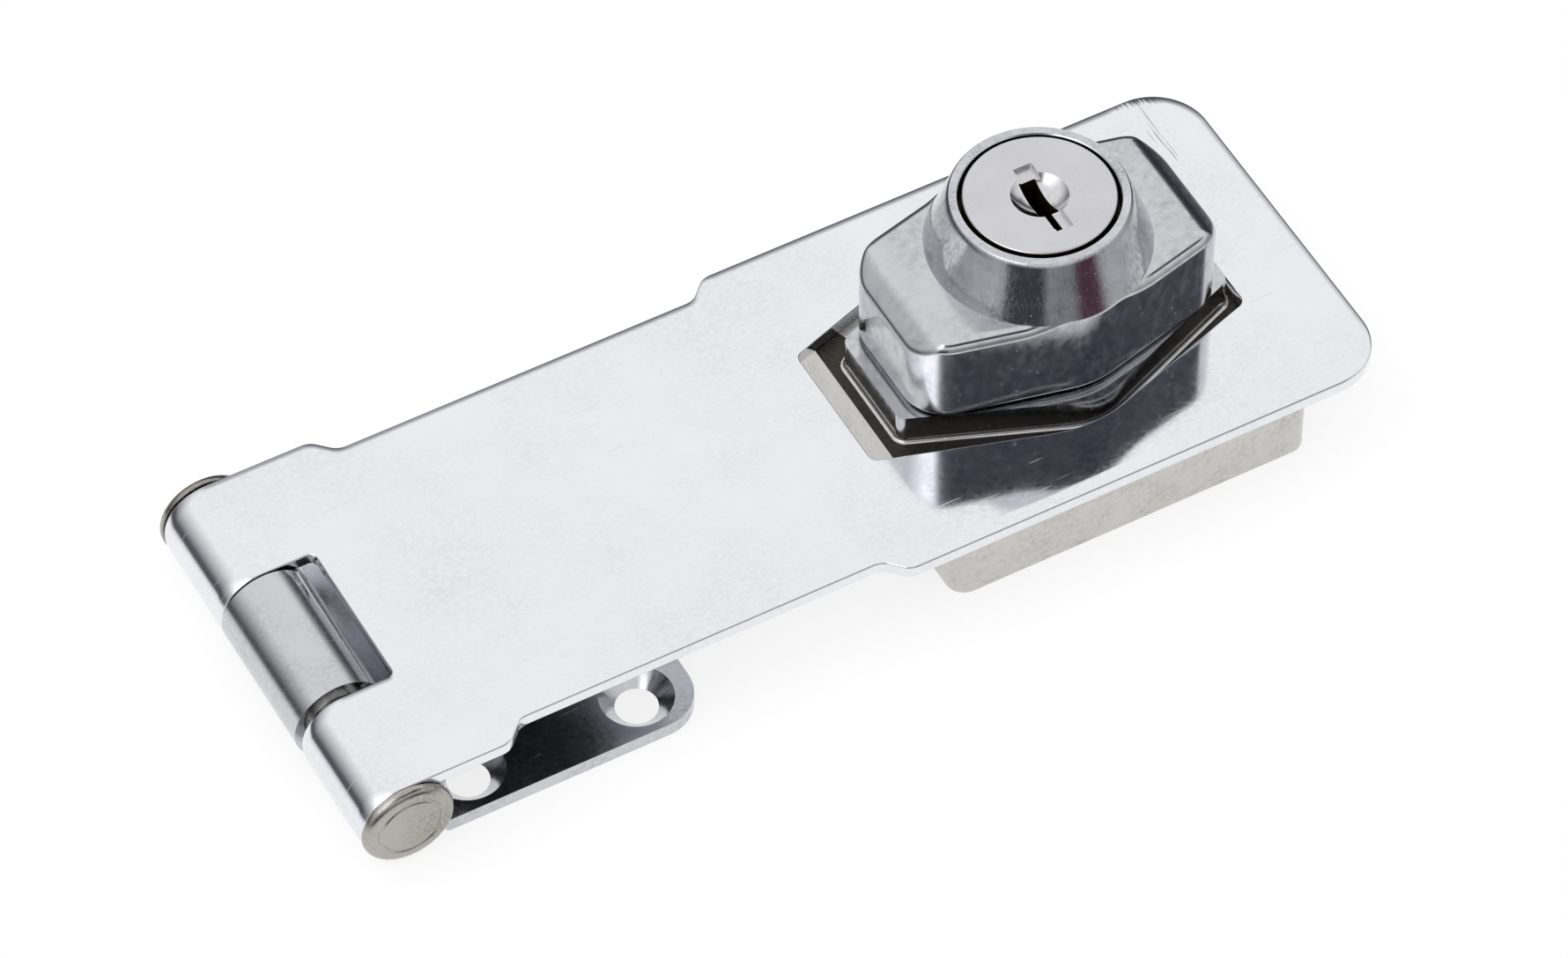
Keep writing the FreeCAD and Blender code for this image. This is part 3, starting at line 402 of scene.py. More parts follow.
class Graph:
    """The nodes of a material or a world, drawn from nothing."""

    def __init__(self, owner: bpy.types.Material | bpy.types.World) -> None:
        """Empties the owner's node tree."""
        owner.use_nodes = True
        self.tree = owner.node_tree
        self.tree.nodes.clear()

    def feed(self, socket: Socket, value: object) -> None:
        """Gives an input a plain value, or links the socket that feeds it."""
        if isinstance(value, Socket):
            self.tree.links.new(value, socket)
        else:
            socket.default_value = value

    def add(self, kind: str, *values: object, settings: dict | None = None,
            **named: object) -> bpy.types.Node:
        """Adds a node with its settings and inputs.

        Args:
            kind: the node's type, without ShaderNode.
            values: its first inputs in order, plain values or sockets.
            settings: its properties.
            named: other inputs by name, spaces as underscores.

        Returns:
            The node.
        """
        node = self.tree.nodes.new("ShaderNode" + kind)
        for name, value in (settings or {}).items():
            setattr(node, name, value)
        for index, value in enumerate(values):
            self.feed(node.inputs[index], value)
        for name, value in named.items():
            self.feed(node.inputs[name.replace("_", " ")], value)
        return node

    def output(self, surface: bpy.types.Node, kind: str = "Material") -> None:
        """Makes a shader the surface of the material or the world."""
        self.add("Output" + kind, Surface=surface.outputs[0])

    def place(self) -> Socket:
        """Gives the place on the object."""
        return self.add("TexCoord").outputs["Object"]

    def maths(self, operation: str, *values: float | Socket) -> Socket:
        """Reckons with numbers."""
        return self.add("Math", *values, settings={"operation": operation}).outputs[0]

    def vectors(self, operation: str, *values: Place | Socket) -> Socket:
        """Reckons with vectors."""
        node = self.add("VectorMath", *values, settings={"operation": operation})
        return node.outputs["Value" if operation == "LENGTH" else "Vector"]

    def remap(self, value: Socket, source: Flat, target: Flat = (0.0, 1.0),
              curve: str = "LINEAR") -> Socket:
        """Maps a number from one span to another, clamped.

        Args:
            value: the number.
            source: the span that it comes from.
            target: the span that it goes to.
            curve: LINEAR or SMOOTHSTEP.

        Returns:
            The socket with the mapped number.
        """
        return self.add("MapRange", value, *source, *target,
                        settings={"interpolation_type": curve}).outputs[0]

    def blend(self, share: Socket, first: object, second: object) -> Socket:
        """Blends two colours, the second one by its share."""
        node = self.add("Mix", share, settings={"data_type": "RGBA"})
        self.feed(node.inputs[6], first)
        self.feed(node.inputs[7], second)
        return node.outputs[2]

    def ramp(self, factor: Socket, stops: Sequence[tuple[float, float | str]]) -> Socket:
        """Maps a factor through grey or coloured stops.

        Args:
            factor: what is mapped.
            stops: pairs of place and either a grey value or an sRGB hex colour.

        Returns:
            The socket with the mapped value.
        """
        node = self.add("ValToRGB", factor)
        elements = node.color_ramp.elements
        while len(elements) < len(stops):
            elements.new(0.5)
        for element, (place, tone) in zip(elements, stops):
            element.position = place
            element.color = linear(tone) if isinstance(tone, str) else (tone,) * 3 + (1.0,)
        return node.outputs["Color"]

    def noise(self, place: Socket, size: Place, detail: float, roughness: float = 0.6,
              turn: float = 0.0) -> Socket:
        """Adds a noise.

        Args:
            place: where it is looked up.
            size: its cells' size along each axis, in millimetres.
            detail: how many finer noises it carries.
            roughness: how strong they are.
            turn: by what angle it is turned about Z.

        Returns:
            The socket with its value.
        """
        scaled = self.add("Mapping", Vector=place, Rotation=(0.0, 0.0, turn),
                          Scale=[1 / (step * MM) for step in size]).outputs[0]
        return self.add("TexNoise", Vector=scaled, Scale=1.0, Detail=detail,
                        Roughness=roughness).outputs[0]

    def bump(self, height: Socket, depth: float, sunk: bool = False,
             **below: Socket) -> Socket:
        """Raises the surface by a height, or sinks it.

        Args:
            height: the height's share.
            depth: the full height, in millimetres.
            sunk: whether it is sunk.
            below: the Normal of the bump that it lies on, if any.

        Returns:
            The socket with the new normal.
        """
        return self.add("Bump", settings={"invert": sunk}, Strength=1.0,
                        Distance=depth * MM, Height=height, **below).outputs[0]


@dataclass(frozen=True)
class PlatedMetal:
    """A plated or bare metal: its colour, gloss, grain and marks, sizes in millimetres."""

    name: str
    slot: str
    colour: str
    dull: str
    roughness: float
    spread: float
    grain: Place = (0.4, 0.4, 0.4)
    grain_depth: float = 0.0004
    waviness: float = 8.0
    wave_depth: float = 0.002
    scratches: float = 0.0
    scratch_size: Place = (9.0, 0.25, 9.0)
    scratch_depth: float = 0.004
    specks: float = 0.0
    speck_size: float = 0.35
    speck_height: float = 0.01
    # Where a polishing wheel last touched: its middle along X and its start along Y.
    touch: Flat | None = None
    touch_width: float = 3.0
    touch_fade: float = 12.0
    touch_depth: float = 0.22
    touch_streaks: Place = (0.7, 14.0, 14.0)

    def build(self) -> bpy.types.Material:
        """Builds the material's nodes.

        Returns:
            The material.
        """
        material = bpy.data.materials.new(self.name)
        graph = Graph(material)
        place = graph.place()
        grain = graph.noise(place, self.grain, 4.0)
        cloud = graph.noise(place, (self.waviness,) * 3, 3.0)
        mottle = graph.ramp(cloud, [(0.35, 0.0), (0.7, 1.0)])
        fine = graph.ramp(grain, [(0.35, 0.0), (0.65, 1.0)])
        colour = graph.blend(graph.maths("MULTIPLY", mottle, fine), linear(self.colour),
                             linear(self.dull))
        rough = graph.remap(fine, (0.0, 1.0), (self.roughness, self.roughness + self.spread))
        normal = graph.bump(cloud, self.wave_depth)
        normal = graph.bump(grain, self.grain_depth, Normal=normal)
        if self.scratches:
            lines = graph.maths("MAXIMUM", *[self._hairlines(graph, place, turn)
                                             for turn in (0.5, 1.9)])
            rough = graph.maths("ADD", rough, graph.maths("MULTIPLY", lines, self.scratches))
            normal = graph.bump(lines, self.scratch_depth, True, Normal=normal)
        if self.specks:
            spots = graph.noise(place, (self.speck_size,) * 3, 2.0, 0.5)
            spots = graph.ramp(spots, [(0.72, 0.0), (0.78, 1.0)])
            rough = graph.maths("ADD", rough, graph.maths("MULTIPLY", spots, self.specks))
            normal = graph.bump(spots, self.speck_height, Normal=normal)
        if self.touch:
            normal = graph.bump(self._touch(graph, place), self.touch_depth, Normal=normal)
        graph.output(graph.add("BsdfPrincipled", Base_Color=colour, Metallic=1.0,
                               Roughness=rough, Normal=normal))
        return material

    def _hairlines(self, graph: Graph, place: Socket, turn: float) -> Socket:
        """Adds sparse long hairlines in one direction."""
        lines = graph.noise(place, self.scratch_size, 1.0, 0.4, turn)
        return graph.ramp(lines, [(0.76, 0.0), (0.79, 1.0)])

    def _touch(self, graph: Graph, place: Socket) -> Socket:
        """Adds the streaks across the strap that the wheel left where it lifted off."""
        middle, start = self.touch
        streaks = graph.noise(place, self.touch_streaks, 2.0)
        x, y, _ = graph.add("SeparateXYZ", place).outputs
        aside = graph.maths("ABSOLUTE", graph.maths("SUBTRACT", x, middle * MM))
        across = graph.remap(aside, (0.0, self.touch_width * MM), (1.0, 0.0), "SMOOTHSTEP")
        along = graph.remap(y, (start * MM, (start + self.touch_fade) * MM),
                            curve="SMOOTHSTEP")
        return graph.maths("MULTIPLY", graph.maths("MULTIPLY", across, along), streaks)


class Finish(Enum):
    """The finishes of the lock's pieces."""

    # Bright chrome plate on rolled steel: a mirror with faint cloudy haze and hairlines.
    SHEET_CHROME = PlatedMetal("bright_chrome_on_rolled_steel", "rolled_chrome", "#EBECF0",
                               "#DEDFE4", 0.07, 0.06, grain=(0.5, 0.35, 0.5),
                               grain_depth=0.0002, waviness=14.0, wave_depth=0.01,
                               scratches=0.25, touch=(51.6, 2.0))
    # Chrome plate on a polished zinc casting: slightly soft mirror with fine specks.
    CAST_CHROME = PlatedMetal("chrome_on_polished_zinc_casting", "cast_chrome", "#CBCCD0",
                              "#AFB0B5", 0.10, 0.10, grain=(0.9, 0.9, 1.6),
                              grain_depth=0.0003, waviness=5.0, wave_depth=0.01,
                              specks=0.3, speck_size=0.28)
    # The same casting, brushed up and down the collar: fine upright lines drag its gloss.
    BRUSHED_CHROME = PlatedMetal("brushed_chrome_on_zinc_casting", "cast_chrome", "#D0D1D6",
                                 "#94959D", 0.08, 0.16, grain=(0.22, 0.22, 5.0),
                                 grain_depth=0.006, waviness=3.0, wave_depth=0.01,
                                 specks=0.2, speck_size=0.24)
    # Chrome plate on an unpolished zinc casting: satin and mottled, as the base's sides are.
    RAW_CAST_CHROME = PlatedMetal("chrome_on_raw_zinc_casting", "cast_chrome", "#CBCAC7",
                                  "#B4B2AA", 0.15, 0.12, grain=(0.5, 0.5, 0.5),
                                  grain_depth=0.002, waviness=4.0, wave_depth=0.01,
                                  specks=0.2)
    # The strap's kind of chrome on the leaf, left duller and greyer by the rolling.
    LEAF_CHROME = PlatedMetal("dull_chrome_on_rolled_steel", "rolled_chrome", "#CDCED2",
                              "#B2B3B8", 0.14, 0.08, grain=(0.5, 0.35, 0.5),
                              grain_depth=0.0005, wave_depth=0.01, scratches=0.2)
    # Zinc left bare in the bores: dark, oily and dull.
    OILED_ZINC = PlatedMetal("oiled_bare_zinc", "cast_chrome", "#4A4742", "#2D2B28", 0.42,
                             0.2, grain_depth=0.002)
    # The dimple that leads the key in: nickel polished by keys.
    POLISHED_NICKEL = PlatedMetal("polished_nickel_on_brass", "plug_face", "#D8D8DB",
                                  "#C2C2C6", 0.09, 0.06)
    # Brass of the keyway's walls, dark with old oil.
    OILED_BRASS = PlatedMetal("oiled_cut_brass", "plug_face", "#7A6238", "#4E3E24", 0.35,
                              0.15, grain_depth=0.001)
    # Satin nickel on brass: even, slightly grainy and pale.
    SATIN_NICKEL = PlatedMetal("satin_nickel_on_brass", "plug_face", "#DADADD", "#CBCBCF",
                               0.32, 0.10, grain=(0.15, 0.15, 0.15), grain_depth=0.0015)
    # Turned mild steel: dull and faintly warm.
    TURNED_STEEL = PlatedMetal("turned_mild_steel", "pin_steel", "#B3B0AB", "#8F8A80", 0.17,
                               0.16, grain=(0.3, 0.3, 0.3), grain_depth=0.001)
    # Stamped brass: plain yellow metal with a soft sheen.
    STAMPED_BRASS = PlatedMetal("stamped_brass", "wafer_brass", "#D9B868", "#B8924A", 0.28,
                                0.12)
    # Spring steel: dark, oiled and smooth.
    SPRING_STEEL = PlatedMetal("oiled_spring_steel", "spring_steel", "#9A9A9C", "#7C7B7C",
                               0.28, 0.1)
    # Plain machined steel: grey with a fine tool grain.
    PLAIN_STEEL = PlatedMetal("plain_machined_steel", "bolt_steel", "#A8A8AA", "#8E8E90",
                              0.30, 0.1)


@dataclass(frozen=True)
class Spot:
    """A face's middle, by reach from the lock's axis and level, and how it looks up."""

    reach: float
    level: float
    up: float


class Wardrobe:
    """Keeps one material for each finish and dresses pieces in them."""

    def __init__(self) -> None:
        """Starts with no materials."""
        self.materials: dict[Finish, bpy.types.Material] = {}

    def material(self, finish: Finish) -> bpy.types.Material:
        """Gives a finish's material, built at its first use."""
        if finish not in self.materials:
            self.materials[finish] = finish.value.build()
        return self.materials[finish]

    def dress(self, piece: bpy.types.Object, finish: Finish, body: str,
              replaced: str) -> None:
        """Gives a piece its finish and body.

        Args:
            piece: the piece.
            finish: its finish.
            body: the CAD body that it rides on.
            replaced: the CAD node that it stands for.
        """
        piece.data.materials.clear()
        piece.data.materials.append(self.material(finish))
        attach(piece, body)
        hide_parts(replaced)
        LOG.info("%s: %d faces, on %s", piece.name, len(piece.data.polygons), body)

    def patch(self, piece: bpy.types.Object, finish: Finish,
              chosen: Callable[[Spot], bool]) -> None:
        """Gives the faces that a test picks another finish.

        Args:
            piece: the piece, already dressed.
            finish: the other finish.
            chosen: the test.
        """
        index = len(piece.data.materials)
        piece.data.materials.append(self.material(finish))
        for face in piece.data.polygons:
            x, y, level = face.center / MM
            if chosen(Spot(math.hypot(x - LOCK_X, y), level, face.normal.z)):
                face.material_index = index

    def dress_node(self, node: str, finish: Finish) -> None:
        """Gives a CAD node that stays its finish."""
        mesh = frame["nodes"][node].data
        for index in range(len(mesh.materials)):
            mesh.materials[index] = self.material(finish)
        LOG.info("%s: CAD node in %s", node, finish.value.name)


# Hinge

def drill_screw_holes(piece: bpy.types.Object, places: Sequence[Flat], top: float) -> None:
    """Drills countersunk screw holes, wide side up.

    Args:
        piece: what is drilled.
        places: the holes' centres.
        top: the level of the surface that the heads sink into.
    """
    depth = (SCREW_HEAD - SCREW_HOLE) / 2
    over = 0.2
    for x, y in places:
        combine(piece, [
            disc("drill", SCREW_HOLE / 2, -OVER, top + OVER, x, y),
            cone("countersink", (SCREW_HOLE / 2, SCREW_HEAD / 2 + over),
                 (top - depth, top + over), x, y)])


@dataclass
class RolledSheet:
    """What the strap and the leaf share: one sheet, rolled round the pin."""

    sheet: float = 1.6
    bore: float = 3.25
    curl: float = 300.0
    strip: float = 5.0
    edge: float = 0.13

    @property
    def neutral(self) -> float:
        """The radius at which the sheet keeps its length."""
        return self.bore + self.sheet / 2

    @property
    def tongue(self) -> float:
        """The flat length that is rolled."""
        return self.neutral * math.radians(self.curl)

    def roll(self, piece: bpy.types.Object, upward: bool) -> None:
        """Breaks a blank's edges, cuts its tongues into strips and rolls them up.

        Args:
            piece: the flat blank, which lies along X from the pin.
            upward: whether the blank lies on top of the pin and not below it.
        """
        break_edges(piece, self.edge, 60.0)
        strips = round(self.curl / self.strip)
        length = self.tongue / strips
        bpy.ops.object.mode_set(mode="EDIT")
        bpy.ops.mesh.select_all(action="SELECT")
        bpy.ops.mesh.remove_doubles(threshold=Shell.WELD)
        for strip in range(strips):
            bpy.ops.mesh.select_all(action="SELECT")
            bpy.ops.mesh.bisect(plane_co=((HINGE_X - strip * length) * MM, 0.0, 0.0),
                                plane_no=(1.0, 0.0, 0.0))
        bpy.ops.object.mode_set(mode="OBJECT")
        side = 1.0 if upward else -1.0
        for vertex in piece.data.vertices:
            run = HINGE_X - vertex.co.x / MM
            if run <= 0:
                continue
            angle = run / self.neutral
            radius = abs(vertex.co.z / MM - HINGE_Z)
            vertex.co.x = (HINGE_X - radius * math.sin(angle)) * MM
            vertex.co.z = (HINGE_Z + side * radius * math.cos(angle)) * MM
        piece.data.update()
        shade(piece)


@dataclass
class Strap(RolledSheet):
    """The hinged strap with its waist, notch and slot."""

    width: float = 42.3
    reach: float = 109.45
    waist_depth: float = 2.15
    waist_start: float = 12.4
    waist_end: float = 53.9
    waist_round: float = 2.0
    corner: float = 6.0
    notch_front: float = 8.5
    notch_rear: float = 8.55
    notch_depth: float = 5.5
    notch_corner: float = 0.8
    slot_near: float = 22.7
    slot_far: float = 19.4
    slot_end: float = 7.6
    slot_peak: float = 14.4
    slot_corner: float = 1.0
    slot_peak_round: float = 14.0
    drawn_width: float = 1.5
    drawn_drop: float = 0.22

    def build(self, wardrobe: Wardrobe) -> None:
        """Builds and dresses the strap."""
        half = self.width / 2
        waist = half - self.waist_depth
        slant = self.waist_depth / 2
        start, end = self.waist_start, self.waist_end
        far_side = [Corner(x, y, self.waist_round) for x, y in (
            (end + slant, half), (end - slant, waist),
            (start + slant, waist), (start - slant, half))]
        near_side = [Corner(c.x, -c.y, c.radius) for c in reversed(far_side)]
        corners = near_side + [
            Corner(self.reach, -half, self.corner), Corner(self.reach, half, self.corner)
        ] + far_side + [
            Corner(-self.tongue, half),
            Corner(-self.tongue, self.notch_rear),
            Corner(self.notch_depth, self.notch_rear, self.notch_corner),
            Corner(self.notch_depth, -self.notch_front, self.notch_corner),
            Corner(-self.tongue, -self.notch_front),
            Corner(-self.tongue, -half)]
        low = HINGE_Z + self.bore
        high = low + self.sheet
        piece = self.blank(Outline(corners), low, high)
        middle = LOCK_X + (self.slot_far - self.slot_near) / 2
        slot = hexagon((self.slot_far + self.slot_near) / 2, self.slot_end, self.slot_peak,
                       self.slot_corner, self.slot_peak_round, middle)
        combine(piece, [prism("slot_punch", slot, low - OVER, high + OVER)])
        self.roll(piece, True)
        wardrobe.dress(piece, Finish.SHEET_CHROME, "strap", "strap")

    def blank(self, outline: Outline, low: float, high: float) -> bpy.types.Object:
        """Draws the flat blank, its upper side drawn down along the edge by the punch."""
        rings = [level_ring(outline.ring(), low, HINGE_X)]
        steps = 6
        for step in range(steps + 1):
            share = step / steps
            level = high - self.drawn_drop * (1 - share) ** 2
            rings.append(level_ring(outline.ring(-self.drawn_width * share), level, HINGE_X))
        return stack("strap_sheet", rings)


@dataclass
class Leaf(RolledSheet):
    """The fixed leaf with its tongue and countersunk holes."""

    width: float = 42.2
    reach: float = 32.9
    corner: float = 4.5
    plate_start: float = 4.25
    plate_corner: float = 0.4
    front: float = 7.4
    rear: float = 8.2
    hole_near: float = 8.9
    hole_spacing: float = 18.35
    hole_rows: float = 33.0

    def build(self, wardrobe: Wardrobe) -> None:
        """Builds and dresses the leaf."""
        half, start, inner = self.width / 2, self.plate_start, self.plate_corner
        corners = [
            Corner(self.reach, -half, self.corner), Corner(self.reach, half, self.corner),
            Corner(start, half, inner), Corner(start, self.rear, inner),
            Corner(-self.tongue, self.rear), Corner(-self.tongue, -self.front),
            Corner(start, -self.front, inner), Corner(start, -half, inner)]
        piece = prism("leaf_sheet", Outline(corners), 0.0, self.sheet, HINGE_X)
        columns = (self.hole_near, self.hole_near + self.hole_spacing)
        drill_screw_holes(piece, [(HINGE_X + x, side * self.hole_rows / 2)
                                  for x in columns for side in (-1, 1)], self.sheet)
        self.roll(piece, False)
        wardrobe.dress(piece, Finish.LEAF_CHROME, "mounting", "leaf")


@dataclass
class HingePin:
    """The pin, turned with a flat round head at each end."""

    shank: float = 3.175
    head: float = 4.85
    inner: float = 21.25
    outer: float = 22.25
    break_in: float = 0.1
    bend: float = 0.8
    ring: float = 3.3
    ring_depth: float = 0.1
    ring_top: float = 0.22
    ring_floor: float = 0.08
    centre: float = 0.4

    def build(self, wardrobe: Wardrobe) -> None:
        """Builds and dresses the pin."""
        profile = [(self.shank, 0.0), (self.shank, self.inner),
                   (self.head - self.break_in, self.inner),
                   (self.head, self.inner + self.break_in)]
        profile += [(self.head - self.bend + self.bend * math.cos(angle),
                     self.outer - self.bend + self.bend * math.sin(angle))
                    for angle in quarter(6)]
        profile += [(radius, self.outer - depth) for radius, depth in (
            (self.ring + self.ring_top, 0.0), (self.ring + self.ring_floor, self.ring_depth),
            (self.ring - self.ring_floor, self.ring_depth), (self.ring - self.ring_top, 0.0),
            (self.centre, 0.0))]
        whole = [(radius, -y) for radius, y in reversed(profile[1:])] + profile
        piece = stack("hinge_pin_turned", [[(HINGE_X + x, y, HINGE_Z + z)
                                            for x, z in circle(radius)]
                                           for radius, y in whole])
        shade(piece)
        wardrobe.dress(piece, Finish.TURNED_STEEL, "strap", "hinge_pin")


# Lock

@dataclass
class LockBase:
    """The cast base with its boss, hollow, housing ring and screw posts."""

    length: float = 40.2
    width: float = 39.6
    top: float = 8.05
    corner: float = 2.0
    wall: float = 2.2
    edge: float = 0.12
    boss_half: float = 18.6
    boss_end: float = 5.7
    boss_peak: float = 13.2
    boss_rise: float = 3.5
    peak_round: float = 8.0
    end_round: float = 1.2
    foot_round: float = 0.4
    holes: float = 14.75
    post: float = 4.2
    ring: float = 13.8
    bore: float = 9.08
    recess: float = 11.0
    recess_depth: float = 3.4
    stop_reach: float = 12.5
    stop_arc: Flat = (166.0, 284.0)
    notch_reach: float = 11.93
    notch_half: float = 3.65
    notch_levels: Flat = (5.05, 8.15)

    def build(self, wardrobe: Wardrobe) -> None:
        """Builds and dresses the base."""
        half_x, half_y = self.length / 2, self.width / 2
        body = Outline([Corner(x * half_x, y * half_y, self.corner)
                        for x, y in ((1, -1), (1, 1), (-1, 1), (-1, -1))])
        piece = prism("base_casting", body, 0.0, self.top, LOCK_X)
        inner_x, inner_y = half_x - self.wall, half_y - self.wall
        combine(piece, [block("hollow", (LOCK_X - inner_x, -inner_y, -OVER),
                              (LOCK_X + inner_x, inner_y, self.top - self.wall))])
        places = [(LOCK_X + x, y) for x in (-self.holes, self.holes)
                  for y in (-self.holes, self.holes)]
        roof = self.top - self.wall / 2
        supports = [disc("post", self.post, 0.0, roof, x, y) for x, y in places]
        supports += [disc("ring", self.ring, 0.0, roof, LOCK_X), self.boss()]
        combine(piece, supports, "UNION")
        drill_screw_holes(piece, places, self.top)
        through = self.top + self.boss_rise + OVER
        combine(piece, [disc("bore", self.bore, -OVER, through, LOCK_X),
                        disc("recess", self.recess, -OVER, self.recess_depth, LOCK_X),
                        self.stop()])
        low, high = self.notch_levels
        reach, side = self.notch_reach, self.notch_half
        combine(piece, [block("notch_x", (LOCK_X, -side, low), (LOCK_X + reach, side, high)),
                        block("notch_y", (LOCK_X - side, 0.0, low),
                              (LOCK_X + side, reach, high))])
        break_edges(piece, self.edge, 50.0, "MITER_ARC")
        shade(piece)
        wardrobe.dress(piece, Finish.RAW_CAST_CHROME, "mounting", "base")
        wardrobe.patch(piece, Finish.CAST_CHROME, lambda spot: spot.level > self.top + 0.3)
        wardrobe.patch(piece, Finish.OILED_ZINC, lambda spot: spot.reach < self.bore + 0.05)

    def boss(self) -> bpy.types.Object:
        """Draws the boss with the fillet round its foot."""
        outline = hexagon(self.boss_half, self.boss_end, self.boss_peak, self.end_round,
                          self.peak_round, LOCK_X, 1.0)
        rings = [level_ring(outline.ring(self.foot_round), self.top - OVER)]
        rings += [level_ring(outline.ring(self.foot_round * (1 - math.sin(angle))),
                             self.top + self.foot_round * (1 - math.cos(angle)))
                  for angle in quarter(5)]
        rings.append(level_ring(outline.ring(), self.top + self.boss_rise))
        return stack("boss", rings)

    def stop(self) -> bpy.types.Object:
        """Draws the arc that the stop washer's tab sweeps."""
        start, end = (math.radians(angle) for angle in self.stop_arc)
        steps = 40
        arc = [start + (end - start) * step / steps for step in range(steps + 1)]
        ring = [(reach * math.cos(angle), reach * math.sin(angle))
                for reach, angles in ((self.stop_reach, arc), (self.recess - 0.3, arc[::-1]))
                for angle in angles]
        return stack("stop_arc", [level_ring(ring, level, LOCK_X)
                                  for level in (-OVER, self.recess_depth)])


@dataclass
class Knob:
    """The turning knob: hexagonal body, tapered collar and hub, drawn as one shell."""

    foot: float = 11.85
    height: float = 10.45
    half: float = 17.2
    end_half: float = 7.4
    peak_half: float = 11.55
    peak_round: float = 10.0
    end_round: float = 4.6
    pitch: float = 0.3
    facet_length: float = 2.4
    facet_drop: float = 2.2
    crease_bend: float = 0.43
    edge_round: float = 1.1
    foot_round: float = 0.7
    collar_foot: float = 11.28
    collar_top: float = 8.98
    collar_height: float = 6.4
    lip: float = 0.12
    rim: float = 7.97
    rim_depth: float = 2.6
    hub: float = 9.0
    hub_end: float = 3.4
    neck: float = 8.0
    neck_flat: float = 7.4
    neck_end: float = 0.5
    groove: float = 7.3
    groove_levels: Flat = (0.9, 1.75)
    bore: float = 6.05
    catch_groove: float = 6.85
    catch_levels: Flat = (11.65, 12.75)
    window_half: float = 3.55
    window_levels: Flat = (5.15, 8.05)

    def __post_init__(self) -> None:
        """Draws the outline, its spokes and the round over each of its points."""
        self.outline = hexagon(self.half, self.end_half, self.peak_half, self.end_round,
                               self.peak_round, 0.0, self.pitch)
        self.angles = [math.atan2(y, x) for x, y in self.outline.ring()]
        self.edges = [(point, normal, *self.edge_arc(point, normal))
                      for point, normal in zip(self.outline.points, self.outline.normals)]

    @property
    def top(self) -> float:
        """The level of the body's flat top."""
        return self.foot + self.height

    def roof(self, x: float, y: float) -> float:
        """Gives the level of the knob's top surface over a place."""
        slope = (self.collar_foot - self.collar_top) / self.collar_height
        collar = self.top + (self.collar_foot - math.hypot(x, y)) / slope
        collar = min(collar, self.top + self.collar_height)
        bend = self.crease_bend
        run = abs(x) - (self.half - self.facet_length)
        if abs(run) < bend:
            run = (run + bend) ** 2 / (4 * bend)
        facet = self.top - max(0.0, run) * self.facet_drop / self.facet_length
        return max(collar, facet)

    def edge_spot(self, point: Vector, normal: Vector, angle: float) -> Vector:
        """Gives the place on the top edge's round at an angle, by an outline's point."""
        return point - normal * self.edge_round * (1 - math.cos(angle))

    def edge_arc(self, point: Vector, normal: Vector) -> Flat:
        """Rolls a ball along the wall, as high under the top surface as it fits.

        Args:
            point: a place on the wall's outline.
            normal: the wall's outward direction there.

        Returns:
            The level of the ball's centre and the angle at which it meets the top.
        """
        return min((self.roof(*self.edge_spot(point, normal, angle))
                    - self.edge_round * math.sin(angle), angle) for angle in quarter(45))

    def round_ring(self, radius: float, level: float, flat: float = 0.0) -> list[Place]:
        """Gives a round ring on the spokes, with two flats if asked."""
        ring = []
        for angle in self.angles:
            reach = radius
            if flat and abs(math.sin(angle)) * radius > flat:
                reach = flat / abs(math.sin(angle))
            ring.append((LOCK_X + reach * math.cos(angle), reach * math.sin(angle), level))
        return ring

    def roof_rings(self) -> list[list[Place]]:
        """Gives the rings from the collar's rim out over the top to the edge's round."""
        collar_steps, flat_steps = 16, 10
        least = 0.02
        rings = []
        for step in range(collar_steps + flat_steps + 1):
            ring = []
            for point, normal, _, angle in self.edges:
                spot = self.edge_spot(point, normal, angle)
                limit = spot.length
                foot = min(self.collar_foot, limit - least)
                if step <= collar_steps:
                    reach = self.collar_top + (foot - self.collar_top) * step / collar_steps
                else:
                    reach = foot + (limit - foot) * (step - collar_steps) / flat_steps
                x, y = spot * (reach / limit)
                ring.append((LOCK_X + x, y, self.roof(x, y)))
            rings.append(ring)
        return rings

    def wall_rings(self) -> list[list[Place]]:
        """Gives the rings from the rounded top edge down the wall to its foot."""
        rings = []
        top_steps = 8
        for step in range(1, top_steps + 1):
            ring = []
            for point, normal, level, start in self.edges:
                angle = start * (1 - step / top_steps)
                x, y = self.edge_spot(point, normal, angle)
                ring.append((LOCK_X + x, y, level + self.edge_round * math.sin(angle)))
            rings.append(ring)
        low = self.foot + self.foot_round
        high = self.top - self.facet_drop - self.edge_round
        rings += [level_ring(self.outline.ring(), level, LOCK_X)
                  for level in (high, (high + low) / 2, low)]
        rings += [level_ring(self.outline.ring(-self.foot_round * (1 - math.cos(angle))),
                             low - self.foot_round * math.sin(angle), LOCK_X)
                  for angle in quarter(5)[1:]]
        return rings

